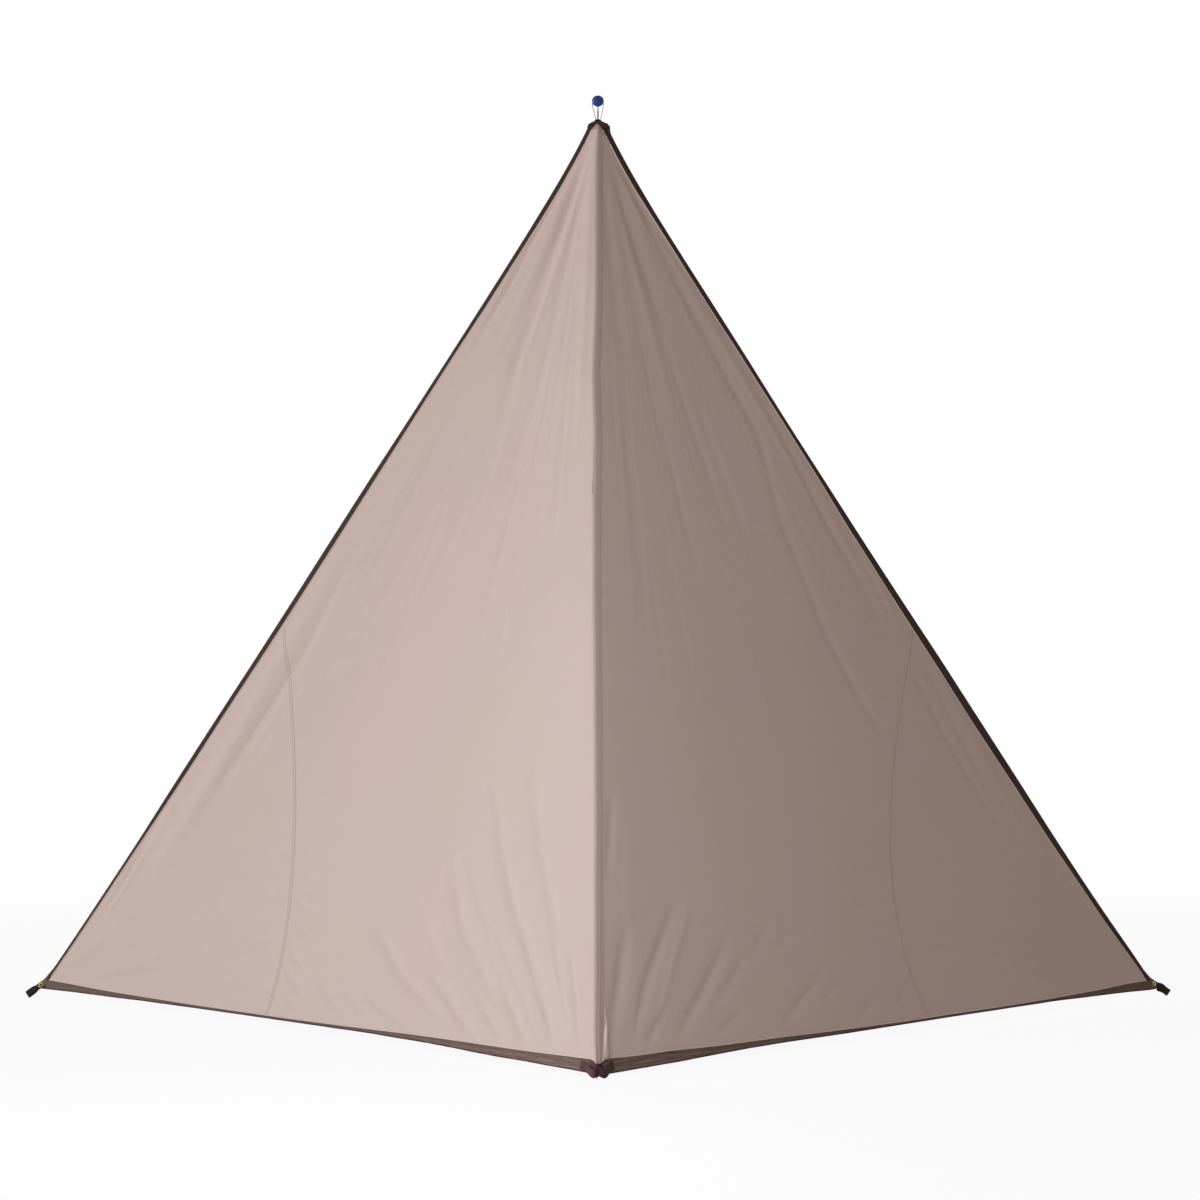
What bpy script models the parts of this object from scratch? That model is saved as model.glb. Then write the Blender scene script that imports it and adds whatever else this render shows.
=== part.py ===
# One-pole camping tarp, pitched as a half pyramid over an upright telescopic pole.
# Metres, +Z up. The origin is the foot of the pole on the ground, +X to the right and
# +Y away from whoever looks at the front corner. The open side faces +Y.

import math

import bmesh
import bpy
from mathutils import Matrix, Vector

# The pitch: where the pole and the three corners stand
POLE_LENGTH = 2.400          # ground to the shoulder that carries the apex
HALF_SPAN = 1.5625           # pole to each side corner, across
BACK_REACH = 0.550           # pole to the side corners, backwards
FRONT_REACH = 1.084          # pole to the front corner
SIDE_CORNER_HEIGHT = 0.048
FRONT_CORNER_HEIGHT = 0.034

# Fabric
FABRIC = 0.0010              # thickness of a panel
CLEARANCE = 0.0003           # air between layers that touch
APEX_DROP = 0.0012           # top of the panels below the pole's shoulder
APEX_REACH = 0.016           # ridge's top end in front of the pole
APEX_FLARE = 0.0225          # how far a side edge starts from the pole, across
FLARE_LENGTH = 0.150         # how fast that flare dies away
RIDGE_SAG = 0.012
EDGE_SAG = 0.013
HEM_SAG = 0.007
HEM_NOTCH = 0.007            # how much lower the front corner hangs than the hems beside it
BELLY = 0.010                # how far a panel bows inwards at its middle
SEAM_GAP = 0.0004

# Curved seams that join the corner panels
SEAM_UP = 1.262              # from the corner, up the side edge
SEAM_ALONG = 1.006           # from the corner, along the hem
SEAM_SHAPE = {-1: (1.24, 1.02), 1: (1.50, 0.93)}   # how each side's curve rounds at its two ends
SEAM_TAPE_WIDTH = 0.014
SEAM_TIP = 0.006             # width of a corner panel at its top, under the webbing

# Webbing, tapes and patches
WEBBING = 0.0010
EDGE_WEBBING_WIDTH = 0.0150  # one leaf of the folded webbing
WEBBING_SPREAD = 0.0095      # how much wider its outer leaf is at the apex
INNER_LEAF_AT_APEX = 0.0050  # and how narrow its inner leaf, beside the pole
SPREAD_LENGTH = 0.085        # how fast it narrows from there
WEBBING_START = 0.0006       # share of the way down the edge at which it begins
TAPE = 0.0008
RIDGE_STRIP_TOP = 0.007      # half width of the ridge strip
RIDGE_STRIP_FOOT = 0.0180
RIDGE_TIP = 0.0045           # the strip's tip stands this much above the panels
RIDGE_STRIP_SPREAD = 0.78    # share of the ridge above which the strip is narrow
HEM_WIDTH = 0.030
HEM_FACE = 0.0080            # width that shows at mid span, above the fold
HEM_FACE_END = 0.0260        # width above the fold at the hem's ends, where it hardly folds
HEM_TURN = math.radians(106)  # how far the rest is tucked inwards at mid span
HEM_FOLD_RADIUS = 0.0020
MITRE_LENGTH = 0.100         # length over which the bands' mitre fades out
PATCH = 0.0012
PATCH_REACH = 0.062          # corner patch, along each edge
PATCH_TONGUE = 0.041         # corner patch, outwards past the corner
TONGUE_HALF = 0.012
FRONT_PATCH_HALF = 0.020

# Peg loops
RIBBON = 0.0015
RIBBON_WIDTH = 0.020
LOOP_GAP = 0.013             # room for a peg between the ribbon's two layers
LOOP_DROOP = math.radians(31.5)
LOOP_TWIST = math.radians(32)
EDGE_PULL = 1.6              # pull of the side edge against that of the hem
LOOP_STITCH = 0.0125         # length that is sewn onto the corner
FRONT_RIBBON_LEG = 0.032     # front loop's ends, back along each hem
FRONT_LOOP_REACH = 0.032     # front loop, forwards from the corner
FRONT_LOBE = 0.0135          # its lobes, to each side
FRONT_PINCH = 0.0075         # how far the ribbon stands higher between them

# Grommets
GROMMET_HOLE = 0.0040        # radius
GROMMET_BARREL = 0.0048
GROMMET_FLANGE = 0.0075
GROMMET_SHEET = 0.0008
GROMMET_OUT = 0.020          # side grommets, outwards past the corner

# Saddle over the apex
SADDLE = 0.0020
SADDLE_DEPTH = 0.024
SADDLE_HALF = 0.0260
SADDLE_SLOPE = 0.0020        # how far its ends lie lower
SADDLE_FOLD_OUT = 0.0072     # the slack fold stands out on the right
SADDLE_FOLD_DROP = 0.0170

# Telescopic pole
LOWER_RADIUS = 0.0150
LOWER_WALL = 0.0015
LOWER_TOP = 1.280
UPPER_RADIUS = 0.0130
UPPER_WALL = 0.0013
UPPER_OVERLAP = 0.170        # length inside the lower tube at full height
BUSH_LENGTH = 0.040
PLUG_HEAD = 0.012
PLUG_SPIGOT = 0.028
PLUG_TOP_RADIUS = 0.0095
PLUG_CONE = 0.0112           # height of its cone, which clears the panels
SPIKE_RADIUS = 0.0025
SPIKE_TIP_RADIUS = 0.0015
SPIKE_ROOT = 0.022
SPIKE_HEIGHT = 0.0530        # above the pole's shoulder
FOOT_RADIUS = 0.0200
FOOT_HEIGHT = 0.045
FOOT_SOLE = 0.008

# Height clamp
COLLAR_HEIGHT = 0.042
COLLAR_RADIUS = 0.0215
COLLAR_SLOT = 0.0030
EAR_THICKNESS = 0.0060
EAR_REACH = 0.0170
EAR_HEIGHT = 0.026
BOLT_RADIUS = 0.0025
BOLT_OUT = 0.0290            # bolt's axis behind the pole's axis
PIN_RADIUS = 0.0030
CAM_RADIUS = 0.0070
CAM_CHEEK = 0.0070
EYE_RADIUS = 0.0058
EYE_HEIGHT = 0.0080
LEVER_THICKNESS = 0.0035
LEVER_SWEEP = math.radians(118)
LEVER_GAP = 0.0022
NUT_RADIUS = 0.0052
NUT_LENGTH = 0.0050

# Ball cap
BALL_RADIUS = 0.0160
BALL_NECK = 0.0175           # the cone's point below the ball's centre
BALL_HEIGHT = 0.0613         # ball's centre above the pole's shoulder
CORD_RADIUS = 0.0010
CORD_HOLE = 0.0016
CORD_DROP = 0.0060           # cord's hole below the ball's centre
RING_RADIUS = 0.0095
RING_HEIGHT = 0.0070
CORD_FOOT = 0.0068           # cord's ends, from the spike's axis

COLUMNS = 14
ROWS_ABOVE_SEAM = 14
ROWS_BELOW_SEAM = 10
CORNER_COLUMNS = 8


def smooth(value):
    value = min(max(value, 0.0), 1.0)
    return value * value * (3 - 2 * value)


def mix(a, b, share):
    return a + (b - a) * share


def finish(name, colour, roughness, metallic=0.0):
    material = bpy.data.materials.new(name)
    material.use_nodes = True
    shader = material.node_tree.nodes["Principled BSDF"]
    shader.inputs["Base Color"].default_value = (*colour, 1)
    shader.inputs["Roughness"].default_value = roughness
    shader.inputs["Metallic"].default_value = metallic
    material.diffuse_color = (*colour, 1)
    return material


def add_object(name, points, faces, material):
    mesh = bpy.data.meshes.new(name)
    mesh.from_pydata([tuple(p) for p in points], [], faces)
    mesh.materials.append(material)
    mesh.update()
    thing = bpy.data.objects.new(name, mesh)
    bpy.context.scene.collection.objects.link(thing)
    return thing


def sheet(name, rows, thickness, material, closed=False):
    """An open grid of points, given its thickness by a Solidify modifier."""
    across = len(rows[0])
    points = [p for row in rows for p in row]
    faces = []
    last = len(rows) if closed else len(rows) - 1
    for j in range(last):
        for i in range(across - 1):
            here = j * across + i
            there = (j + 1) % len(rows) * across + i
            faces.append((here, here + 1, there + 1, there))
    thing = add_object(name, points, faces, material)
    wall = thing.modifiers.new("Thickness", "SOLIDIFY")
    wall.thickness = thickness
    wall.offset = 0
    wall.use_even_offset = True
    return thing


def turned(name, profile, sides, material, frame=None):
    """A closed outline of (radius, height) points turned about Z, then placed by frame."""
    points, faces, rings = [], [], []
    for radius, height in profile:
        if radius < 1e-6:
            rings.append([len(points)] * sides)
            points.append(Vector((0, 0, height)))
            continue
        rings.append(list(range(len(points), len(points) + sides)))
        for k in range(sides):
            angle = 2 * math.pi * k / sides
            points.append(Vector((radius * math.cos(angle), radius * math.sin(angle), height)))
    for a, b in zip(rings, rings[1:] + rings[:1]):
        for k in range(sides):
            corners = [a[k], a[(k + 1) % sides], b[(k + 1) % sides], b[k]]
            face = list(dict.fromkeys(corners))
            if len(face) > 2:
                faces.append(face)
    thing = add_object(name, points, faces, material)
    thing.data.shade_smooth()
    thing.data.set_sharp_from_angle(angle=math.radians(35))
    if frame is not None:
        thing.matrix_world = frame
    return thing


def frame_of(origin, x_axis, y_axis, z_axis):
    turn = Matrix((x_axis, y_axis, z_axis)).transposed().to_4x4()
    return Matrix.Translation(origin) @ turn


def cut(thing, cutter):
    cutter.hide_render = True
    cutter.display_type = "WIRE"
    cutter.parent = thing
    cutter.matrix_parent_inverse = thing.matrix_world.inverted()
    boolean = thing.modifiers.new("Cut", "BOOLEAN")
    boolean.operation = "DIFFERENCE"
    boolean.object = cutter


def join(thing, addition):
    addition.hide_render = True
    addition.display_type = "WIRE"
    addition.parent = thing
    addition.matrix_parent_inverse = thing.matrix_world.inverted()
    boolean = thing.modifiers.new("Join", "BOOLEAN")
    boolean.operation = "UNION"
    boolean.object = addition


def block(name, low, high, material):
    xs, ys, zs = zip(low, high)
    points = [(x, y, z) for x in xs for y in ys for z in zs]
    faces = [(0, 1, 3, 2), (4, 6, 7, 5), (0, 4, 5, 1), (2, 3, 7, 6), (0, 2, 6, 4), (1, 5, 7, 3)]
    return add_object(name, points, faces, material)


# The canopy's surface. Each panel is a fan of lines from the apex: u runs from the ridge, 0,
# to the side edge, 1, and v from the apex, 0, to the hem, 1. side is -1 on the left, 1 on the right.

PANEL_TOP = POLE_LENGTH - APEX_DROP
RIDGE_TOP = Vector((0, -APEX_REACH, PANEL_TOP))
RIDGE_FOOT = Vector((0, -FRONT_REACH, FRONT_CORNER_HEIGHT))


def side_corner(side):
    return Vector((side * HALF_SPAN, BACK_REACH, SIDE_CORNER_HEIGHT))


def panel_normal(side):
    across = side_corner(side) - RIDGE_FOOT
    down = RIDGE_FOOT - RIDGE_TOP
    normal = down.cross(across) * side
    return normal.normalized()


def ridge(v):
    run = (RIDGE_FOOT - RIDGE_TOP).normalized()
    inward = Vector((0, -run.z, run.y))
    return mix(RIDGE_TOP, RIDGE_FOOT, v) + inward * RIDGE_SAG * 4 * v * (1 - v)


def side_edge(side, v):
    corner = side_corner(side)
    hem_way = (corner - RIDGE_FOOT).normalized()
    straight = mix(RIDGE_TOP, corner, v)
    flare = APEX_FLARE / abs(hem_way.x) * math.exp(-v * edge_length(side) / FLARE_LENGTH)
    return straight + hem_way * (flare - EDGE_SAG * (1 - (1 - 2 * v) ** 4))


def edge_length(side):
    return (side_corner(side) - RIDGE_TOP).length


def hem_length(side):
    return (side_corner(side) - RIDGE_FOOT).length


def hem_down(side):
    """Direction in the panel's plane, square to the hem and down."""
    along = (side_corner(side) - RIDGE_FOOT).normalized()
    down = along.cross(panel_normal(side)).normalized()
    return down if down.z < 0 else -down


def width_at(side, v):
    return (side_edge(side, v) - ridge(v)).length


def panel_point(side, u, v, lift=0.0):
    """A point of the smooth panel, moved out along its normal by lift."""
    flat = mix(ridge(v), side_edge(side, v), u)
    notch = HEM_NOTCH * (1 - math.exp(-max(u, 0.0) / 0.02)) * (1 - u) ** 2
    droop = hem_down(side) * (HEM_SAG * 4 * u * (1 - u) - notch) * v ** 4
    bow = BELLY * (4 * u * (1 - u)) ** 2 * math.sin(math.pi * v) ** 2
    return flat + droop + panel_normal(side) * (lift - bow)


# Main folds: each runs between two points of a panel, given as (u, v), with its half width
# in metres and its height, which is negative for a valley
APEX_FOLDS = [
    ((0.10, 0.010), (0.13, 0.34), 0.020, 0.0050),
    ((0.30, 0.010), (0.24, 0.46), 0.024, -0.0050),
    ((0.46, 0.010), (0.40, 0.30), 0.022, 0.0055),
    ((0.64, 0.010), (0.60, 0.50), 0.026, -0.0055),
    ((0.84, 0.012), (0.82, 0.42), 0.024, 0.0050),
]
LEFT_FOLDS = [
    ((0.78, 0.42), (0.90, 0.80), 0.035, -0.0080),
    ((0.10, 0.97), (0.34, 0.86), 0.030, 0.0050),
    ((0.12, 0.98), (0.50, 0.93), 0.028, -0.0050),
]
RIGHT_FOLDS = [
    ((0.66, 0.50), (0.60, 0.74), 0.040, -0.0090),
    ((0.84, 0.52), (0.86, 0.80), 0.036, 0.0080),
    ((0.10, 0.97), (0.32, 0.84), 0.030, -0.0050),
    ((0.12, 0.98), (0.46, 0.92), 0.028, 0.0050),
]


def fold_height(side, u, v):
    here = panel_point(side, u, v)
    height = 0.0
    for start, end, half_width, rise in APEX_FOLDS + (LEFT_FOLDS if side < 0 else RIGHT_FOLDS):
        a = panel_point(side, *start)
        b = panel_point(side, *end)
        share = (here - a).dot(b - a) / (b - a).length_squared
        if 0 < share < 1:
            away = (here - mix(a, b, share)).length
            height += rise * math.sin(math.pi * share) * math.exp(-(away / half_width) ** 2)
    return height


def seam_u(side, v):
    """Where the curved seam crosses the line at v."""
    up = (1 - v) * edge_length(side)
    share = min(up / SEAM_UP, 1.0)
    top, foot = SEAM_SHAPE[side]
    along = SEAM_ALONG * (1 - share ** top) ** (1 / foot)
    return 1 - along / hem_length(side) / v


def seam_top(side):
    return 1 - SEAM_UP / edge_length(side)


def panel_rows(side):
    top = seam_top(side)
    rows = [0.0, WEBBING_START]
    rows += [top * (j / ROWS_ABOVE_SEAM) ** 1.5 for j in range(1, ROWS_ABOVE_SEAM)]
    rows += [top + (1 - top) * j / ROWS_BELOW_SEAM for j in range(ROWS_BELOW_SEAM + 1)]
    return rows


# Beside a seam, the ridge or an edge a panel has a narrow smooth border, on which tapes lie
BORDER = 0.017


def columns(side, v, start, end, count):
    """u of each column from start to end, with a border column at each side."""
    width = width_at(side, v)
    border = min(BORDER / width, 0.28 * (end - start))
    inner = [mix(start + border, end - border, i / (count - 2)) for i in range(count - 1)]
    return [start, *inner, end]


def folded_row(side, us, v):
    row = []
    for i, u in enumerate(us):
        on_border = i < 2 or i > len(us) - 3
        lift = 0.0 if on_border else fold_height(side, u, v) * smooth((1 - v) / 0.03)
        row.append(panel_point(side, u, v, lift))
    return row


def ridge_gap_u(side, v):
    """How far from the ridge line a panel starts, so that the two panels' walls clear."""
    half_angle = math.acos(max(-1.0, min(1.0, panel_normal(-1).dot(panel_normal(1))))) / 2
    return (FABRIC / 2 * math.tan(half_angle) + SEAM_GAP) / width_at(side, v)


def main_columns(side, v):
    width = width_at(side, v)
    end = 1.0
    if v >= seam_top(side) - 1e-9:
        end = min(seam_u(side, v), 1 - SEAM_TIP / width) - SEAM_GAP / width
    return columns(side, v, ridge_gap_u(side, v), end, COLUMNS)


def corner_columns(side, v):
    start = min(seam_u(side, v), 1 - SEAM_TIP / width_at(side, v))
    return columns(side, v, start, 1.0, CORNER_COLUMNS)


def make_panels(side, label, beige):
    rows = panel_rows(side)
    main = [folded_row(side, main_columns(side, v), v) for v in rows]
    sheet(f"panel_{label}_main", main, FABRIC, beige)
    lower = [v for v in rows if v >= seam_top(side) - 1e-9]
    corner = [folded_row(side, corner_columns(side, v), v) for v in lower]
    sheet(f"panel_{label}_corner", corner, FABRIC, beige)


def make_seam_tape(side, label, colour):
    """Tape on the inside, over the curved seam."""
    lift = -(FABRIC / 2 + CLEARANCE + TAPE / 2)
    rows = []
    for v in panel_rows(side):
        centre = seam_u(side, v) if v > seam_top(side) + 1e-9 else 2.0
        half = SEAM_TAPE_WIDTH / 2 / width_at(side, v)
        if centre + half > 1 - (EDGE_WEBBING_WIDTH + CLEARANCE * 3) / width_at(side, v):
            continue
        rows.append([panel_point(side, centre + k * half, v, lift) for k in (-1, 0, 1)])
    sheet(f"{label}_seam_tape", rows, TAPE, colour)


def ridge_offset(v, lift):
    """The ridge line moved out so far that its two slopes stand lift off the panels."""
    bisector = (panel_normal(-1) + panel_normal(1)).normalized()
    return ridge(v) + bisector * lift / bisector.dot(panel_normal(1))


def ridge_strip(name, half_widths, rows, lift, thickness, material):
    points = []
    for half, v in zip(half_widths, rows):
        left = panel_point(-1, half / width_at(-1, v), v, lift)
        right = panel_point(1, half / width_at(1, v), v, lift)
        points.append([left, ridge_offset(v, lift), right])
    return sheet(name, points, thickness, material)


def make_ridge(beige, dark):
    rows = panel_rows(1)
    lift = FABRIC / 2 + CLEARANCE + TAPE / 2
    outer = [RIDGE_STRIP_TOP * 0.35, RIDGE_STRIP_TOP * 0.75]
    for v in rows[1:]:
        spread = smooth((v - RIDGE_STRIP_SPREAD) / (1 - RIDGE_STRIP_SPREAD))
        outer.append(mix(RIDGE_STRIP_TOP, RIDGE_STRIP_FOOT, spread))
    tip = -RIDGE_TIP / (RIDGE_FOOT - RIDGE_TOP).length
    ridge_strip("ridge_seam", outer, [tip, *rows], lift, TAPE, beige)
    inside = rows[2:]
    ridge_strip("ridge_inner_tape", [RIDGE_STRIP_TOP] * len(inside), inside, -lift, TAPE, dark)


def make_edge_webbing(side, label, dark):
    """Webbing folded over the panel's free edge: outer leaf, fold and inner leaf."""
    lift = FABRIC / 2 + CLEARANCE + WEBBING / 2
    rows = []
    for v in panel_rows(side)[1:]:
        width = width_at(side, v)
        apex = 1 - smooth(v * edge_length(side) / SPREAD_LENGTH)
        outer_leaf = 1 - (EDGE_WEBBING_WIDTH + WEBBING_SPREAD * apex) / width
        inner_leaf = 1 - mix(EDGE_WEBBING_WIDTH, INNER_LEAF_AT_APEX, apex) / width
        past = 1 + (CLEARANCE + WEBBING / 2) / width
        edge = panel_point(side, past, v)
        half = panel_normal(side) * lift
        outer = panel_point(side, outer_leaf, v, lift)
        inner = panel_point(side, inner_leaf, v, -lift)
        rows.append([outer, edge + half, edge - half, inner])
    sheet(f"{label}_edge_webbing", rows, WEBBING, dark)


def hem_fold(u):
    """Width of the hem band above its fold, and how far the rest is tucked inwards."""
    tucked = smooth((u - 0.04) / 0.36) * smooth((1 - u) / 0.20)
    return mix(HEM_FACE_END, HEM_FACE, tucked), HEM_TURN * min(1.0, 3 * tucked)


def band_way(side, u):
    """Down the hem band: square to the hem, but along the ridge line at the front corner."""
    square = hem_down(side)
    ridge_way = (RIDGE_FOOT - RIDGE_TOP).normalized()
    mitred = ridge_way / ridge_way.dot(square)
    return mix(mitred, square, smooth(u * hem_length(side) / MITRE_LENGTH))


def hem_point(side, u, down, lift=0.0):
    """A point of the hem band, down metres below the panel's lower edge."""
    start = panel_point(side, u, 1.0)
    below = band_way(side, u)
    out = panel_normal(side)
    face, turn = hem_fold(u)
    angle = min(max(down - face, 0.0) / HEM_FOLD_RADIUS, turn)
    rest = max(down - face - HEM_FOLD_RADIUS * turn, 0.0)
    place = below * (min(down, face) + HEM_FOLD_RADIUS * math.sin(angle) + rest * math.cos(angle))
    place -= out * (HEM_FOLD_RADIUS * (1 - math.cos(angle)) + rest * math.sin(angle))
    return start + place + out * lift


def make_hem_band(side, label, dark):
    gap = CLEARANCE + FABRIC / 2
    us = main_columns(side, 1.0) + corner_columns(side, 1.0)[1:]
    rows = [[hem_point(side, u, gap) for u in us]]
    for share in (0.0, 0.09, 0.18, 1.0):
        rows.append([hem_point(side, u, mix(hem_fold(u)[0], HEM_WIDTH, share)) for u in us])
    sheet(f"{label}_hem_band", rows, FABRIC, dark)


def loop_axes(side):
    """Origin, outward, downward and normal directions of a side corner's loop."""
    corner = side_corner(side)
    up_edge = (RIDGE_TOP - corner).normalized()
    along = (RIDGE_FOOT - corner).normalized()
    pull = -(up_edge * EDGE_PULL + along)
    flat = Vector((pull.x, pull.y, 0)).normalized()
    outward = flat * math.cos(LOOP_DROOP) - Vector((0, 0, 1)) * math.sin(LOOP_DROOP)
    normal = panel_normal(side)
    normal = (normal - outward * normal.dot(outward)).normalized()
    down = normal.cross(outward)
    down = down if down.z < 0 else -down
    return corner, outward, down, normal


def tongue_lift():
    """The corner patch lies behind the folded webbing's inner leaf."""
    return FABRIC / 2 + CLEARANCE * 2 + WEBBING + PATCH / 2


def make_corner_patch(side, label, dark):
    corner, outward, down, normal = loop_axes(side)
    behind = corner - panel_normal(side) * tongue_lift()
    up_edge = (RIDGE_TOP - corner).normalized()
    along = (RIDGE_FOOT - corner).normalized()
    tongue = outward * PATCH_TONGUE
    half = down * TONGUE_HALF
    middle = up_edge + along
    rows = [
        [behind + tongue - half, behind + tongue, behind + tongue + half],
        [behind - half, behind, behind + half],
        [behind + up_edge * PATCH_REACH, behind + middle * PATCH_REACH / 2, behind + along * PATCH_REACH],
    ]
    thing = sheet(f"{label}_corner_patch", rows, PATCH, dark)
    bore = turned(f"{label}_corner_hole", hole_profile(GROMMET_BARREL + CLEARANCE), 20, dark,
                  grommet_frame(side))
    cut(thing, bore)


def hole_profile(radius, half_length=0.006):
    return [(0, -half_length), (radius, -half_length), (radius, half_length), (0, half_length)]


def grommet_frame(side):
    corner, outward, down, normal = loop_axes(side)
    centre = corner - panel_normal(side) * tongue_lift() + outward * GROMMET_OUT
    across = outward.cross(normal).normalized()
    return frame_of(centre, across.cross(normal).normalized() * -1, -across, normal)


def eyelet_profile(half_stack):
    """Barrel with a rolled flange on top, for a stack of cloth that is 2 * half_stack thick."""
    top = half_stack + CLEARANCE
    foot = -half_stack - CLEARANCE * 2 - GROMMET_SHEET
    return [
        (GROMMET_HOLE, foot),
        (GROMMET_BARREL, foot),
        (GROMMET_BARREL, top),
        (GROMMET_FLANGE, top),
        (GROMMET_FLANGE, top + GROMMET_SHEET * 0.6),
        (GROMMET_FLANGE - 0.0012, top + GROMMET_SHEET * 1.4),
        (GROMMET_BARREL, top + GROMMET_SHEET * 1.4),
        (GROMMET_HOLE, top + GROMMET_SHEET * 0.7),
    ]


def washer_profile(half_stack):
    top = -half_stack - CLEARANCE
    inner = GROMMET_BARREL + CLEARANCE
    return [
        (inner, top - GROMMET_SHEET),
        (GROMMET_FLANGE, top - GROMMET_SHEET),
        (GROMMET_FLANGE, top),
        (inner, top),
    ]


def make_side_grommet(side, label, brass):
    frame = grommet_frame(side)
    turned(f"{label}_grommet", eyelet_profile(PATCH / 2), 18, brass, frame)
    turned(f"{label}_grommet_washer", washer_profile(PATCH / 2), 18, brass, frame)


def make_side_loop(side, label, dark):
    """Ribbon folded back on itself, its two ends sewn to the patch's tongue."""
    corner, outward, down, normal = loop_axes(side)
    behind = corner - panel_normal(side) * tongue_lift()
    closed = PATCH / 2 + CLEARANCE + RIBBON / 2
    wide = LOOP_GAP / 2 + RIBBON / 2
    thick_z = normal.z * math.cos(LOOP_TWIST) + down.z * math.sin(LOOP_TWIST)
    width_z = down.z * math.cos(LOOP_TWIST) - normal.z * math.sin(LOOP_TWIST)
    round_end = (wide + RIBBON / 2) * math.hypot(outward.z, thick_z)
    turn_at = (behind.z - RIBBON_WIDTH / 2 * abs(width_z) - round_end) / abs(outward.z)
    first = PATCH_TONGUE - LOOP_STITCH
    opened = mix(PATCH_TONGUE, turn_at, 0.5)
    way = [(first, closed), (PATCH_TONGUE, closed)]
    for k in range(1, 5):
        way.append((mix(PATCH_TONGUE, opened, k / 4), mix(closed, wide, smooth(k / 4))))
    way += [(turn_at + wide * math.sin(a), wide * math.cos(a))
            for a in (math.radians(15 * k) for k in range(0, 7))]
    route = way + [(out, -lift) for out, lift in reversed(way[:-1])]
    rows = []
    for out, lift in route:
        twist = LOOP_TWIST * smooth((out - PATCH_TONGUE) / (turn_at - PATCH_TONGUE))
        thick = normal * math.cos(twist) + down * math.sin(twist)
        half = (down * math.cos(twist) - normal * math.sin(twist)) * RIBBON_WIDTH / 2
        centre = behind + outward * out + thick * lift
        rows.append([centre - half, centre + half])
    sheet(f"{label}_peg_loop", rows, RIBBON, dark)


def make_front_corner(dark):
    """Reinforcement over the line where the two hem bands meet."""
    lift = FABRIC / 2 + CLEARANCE + PATCH / 2
    bisector = (panel_normal(-1) + panel_normal(1)).normalized()
    reach = lift / bisector.dot(panel_normal(1))
    rows = []
    for down in (CLEARANCE + FABRIC / 2, HEM_WIDTH / 2, HEM_WIDTH - 0.001):
        left = hem_point(-1, FRONT_PATCH_HALF / hem_length(-1), down, lift)
        right = hem_point(1, FRONT_PATCH_HALF / hem_length(1), down, lift)
        rows.append([left, hem_point(1, 0.0, down) + bisector * reach, right])
    sheet("front_corner_patch", rows, PATCH, dark)


def front_loop_sections():
    """Centre and width direction of the front ribbon, from its left end round both lobes."""
    lift = FABRIC / 2 + CLEARANCE * 3 + PATCH + RIBBON / 2
    level = HEM_WIDTH - RIBBON_WIDTH / 2 - 0.002
    front = RIDGE_FOOT.y - FRONT_LOOP_REACH
    low = RIBBON_WIDTH / 2
    lobe = FRONT_LOBE
    on_band = hem_down(-1)
    upright = Vector((0, -0.22, -1)).normalized()
    left = []
    for back in (1.0, 0.86, 0.72):
        centre = hem_point(-1, FRONT_RIBBON_LEG * back / hem_length(-1), level, lift)
        left.append((centre, on_band))
    leave = left[-1][0]
    between = mix(on_band, upright, 0.5)
    left += [
        (Vector((-lobe * 1.28, mix(leave.y, front, 0.34), mix(leave.z, low, 0.45))), between),
        (Vector((-lobe * 1.10, mix(leave.y, front, 0.66), mix(leave.z, low, 0.85))), upright),
        (Vector((-lobe, mix(leave.y, front, 0.90), low)), upright),
        (Vector((-lobe * 0.74, front, low)), upright),
        (Vector((-lobe * 0.42, mix(leave.y, front, 0.97), low + FRONT_PINCH * 0.35)), upright),
    ]
    middle = (Vector((0, mix(leave.y, front, 0.80), low + FRONT_PINCH)), upright)
    mirrored = [(Vector((-p.x, p.y, p.z)), Vector((-w.x, w.y, w.z))) for p, w in reversed(left)]
    return left + [middle] + mirrored


def through(points, steps):
    """Points of a smooth line through the given ones."""
    fine = []
    for k in range(len(points) - 1):
        a, b = points[k], points[k + 1]
        leave = (b - points[max(k - 1, 0)]) / 2
        arrive = (points[min(k + 2, len(points) - 1)] - a) / 2
        for step in range(steps):
            t = step / steps
            fine.append(a * (2 * t ** 3 - 3 * t ** 2 + 1) + leave * (t ** 3 - 2 * t ** 2 + t)
                        + b * (3 * t ** 2 - 2 * t ** 3) + arrive * (t ** 3 - t ** 2))
    return fine + [points[-1]]


def make_front_loop(dark):
    sections = front_loop_sections()
    centres = through([centre for centre, way in sections], 2)
    ways = through([way for centre, way in sections], 2)
    rows = []
    for centre, way in zip(centres, ways):
        half = way.normalized() * RIBBON_WIDTH / 2
        rows.append([centre - half, centre + half])
    sheet("front_peg_loop", rows, RIBBON, dark)


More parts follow.
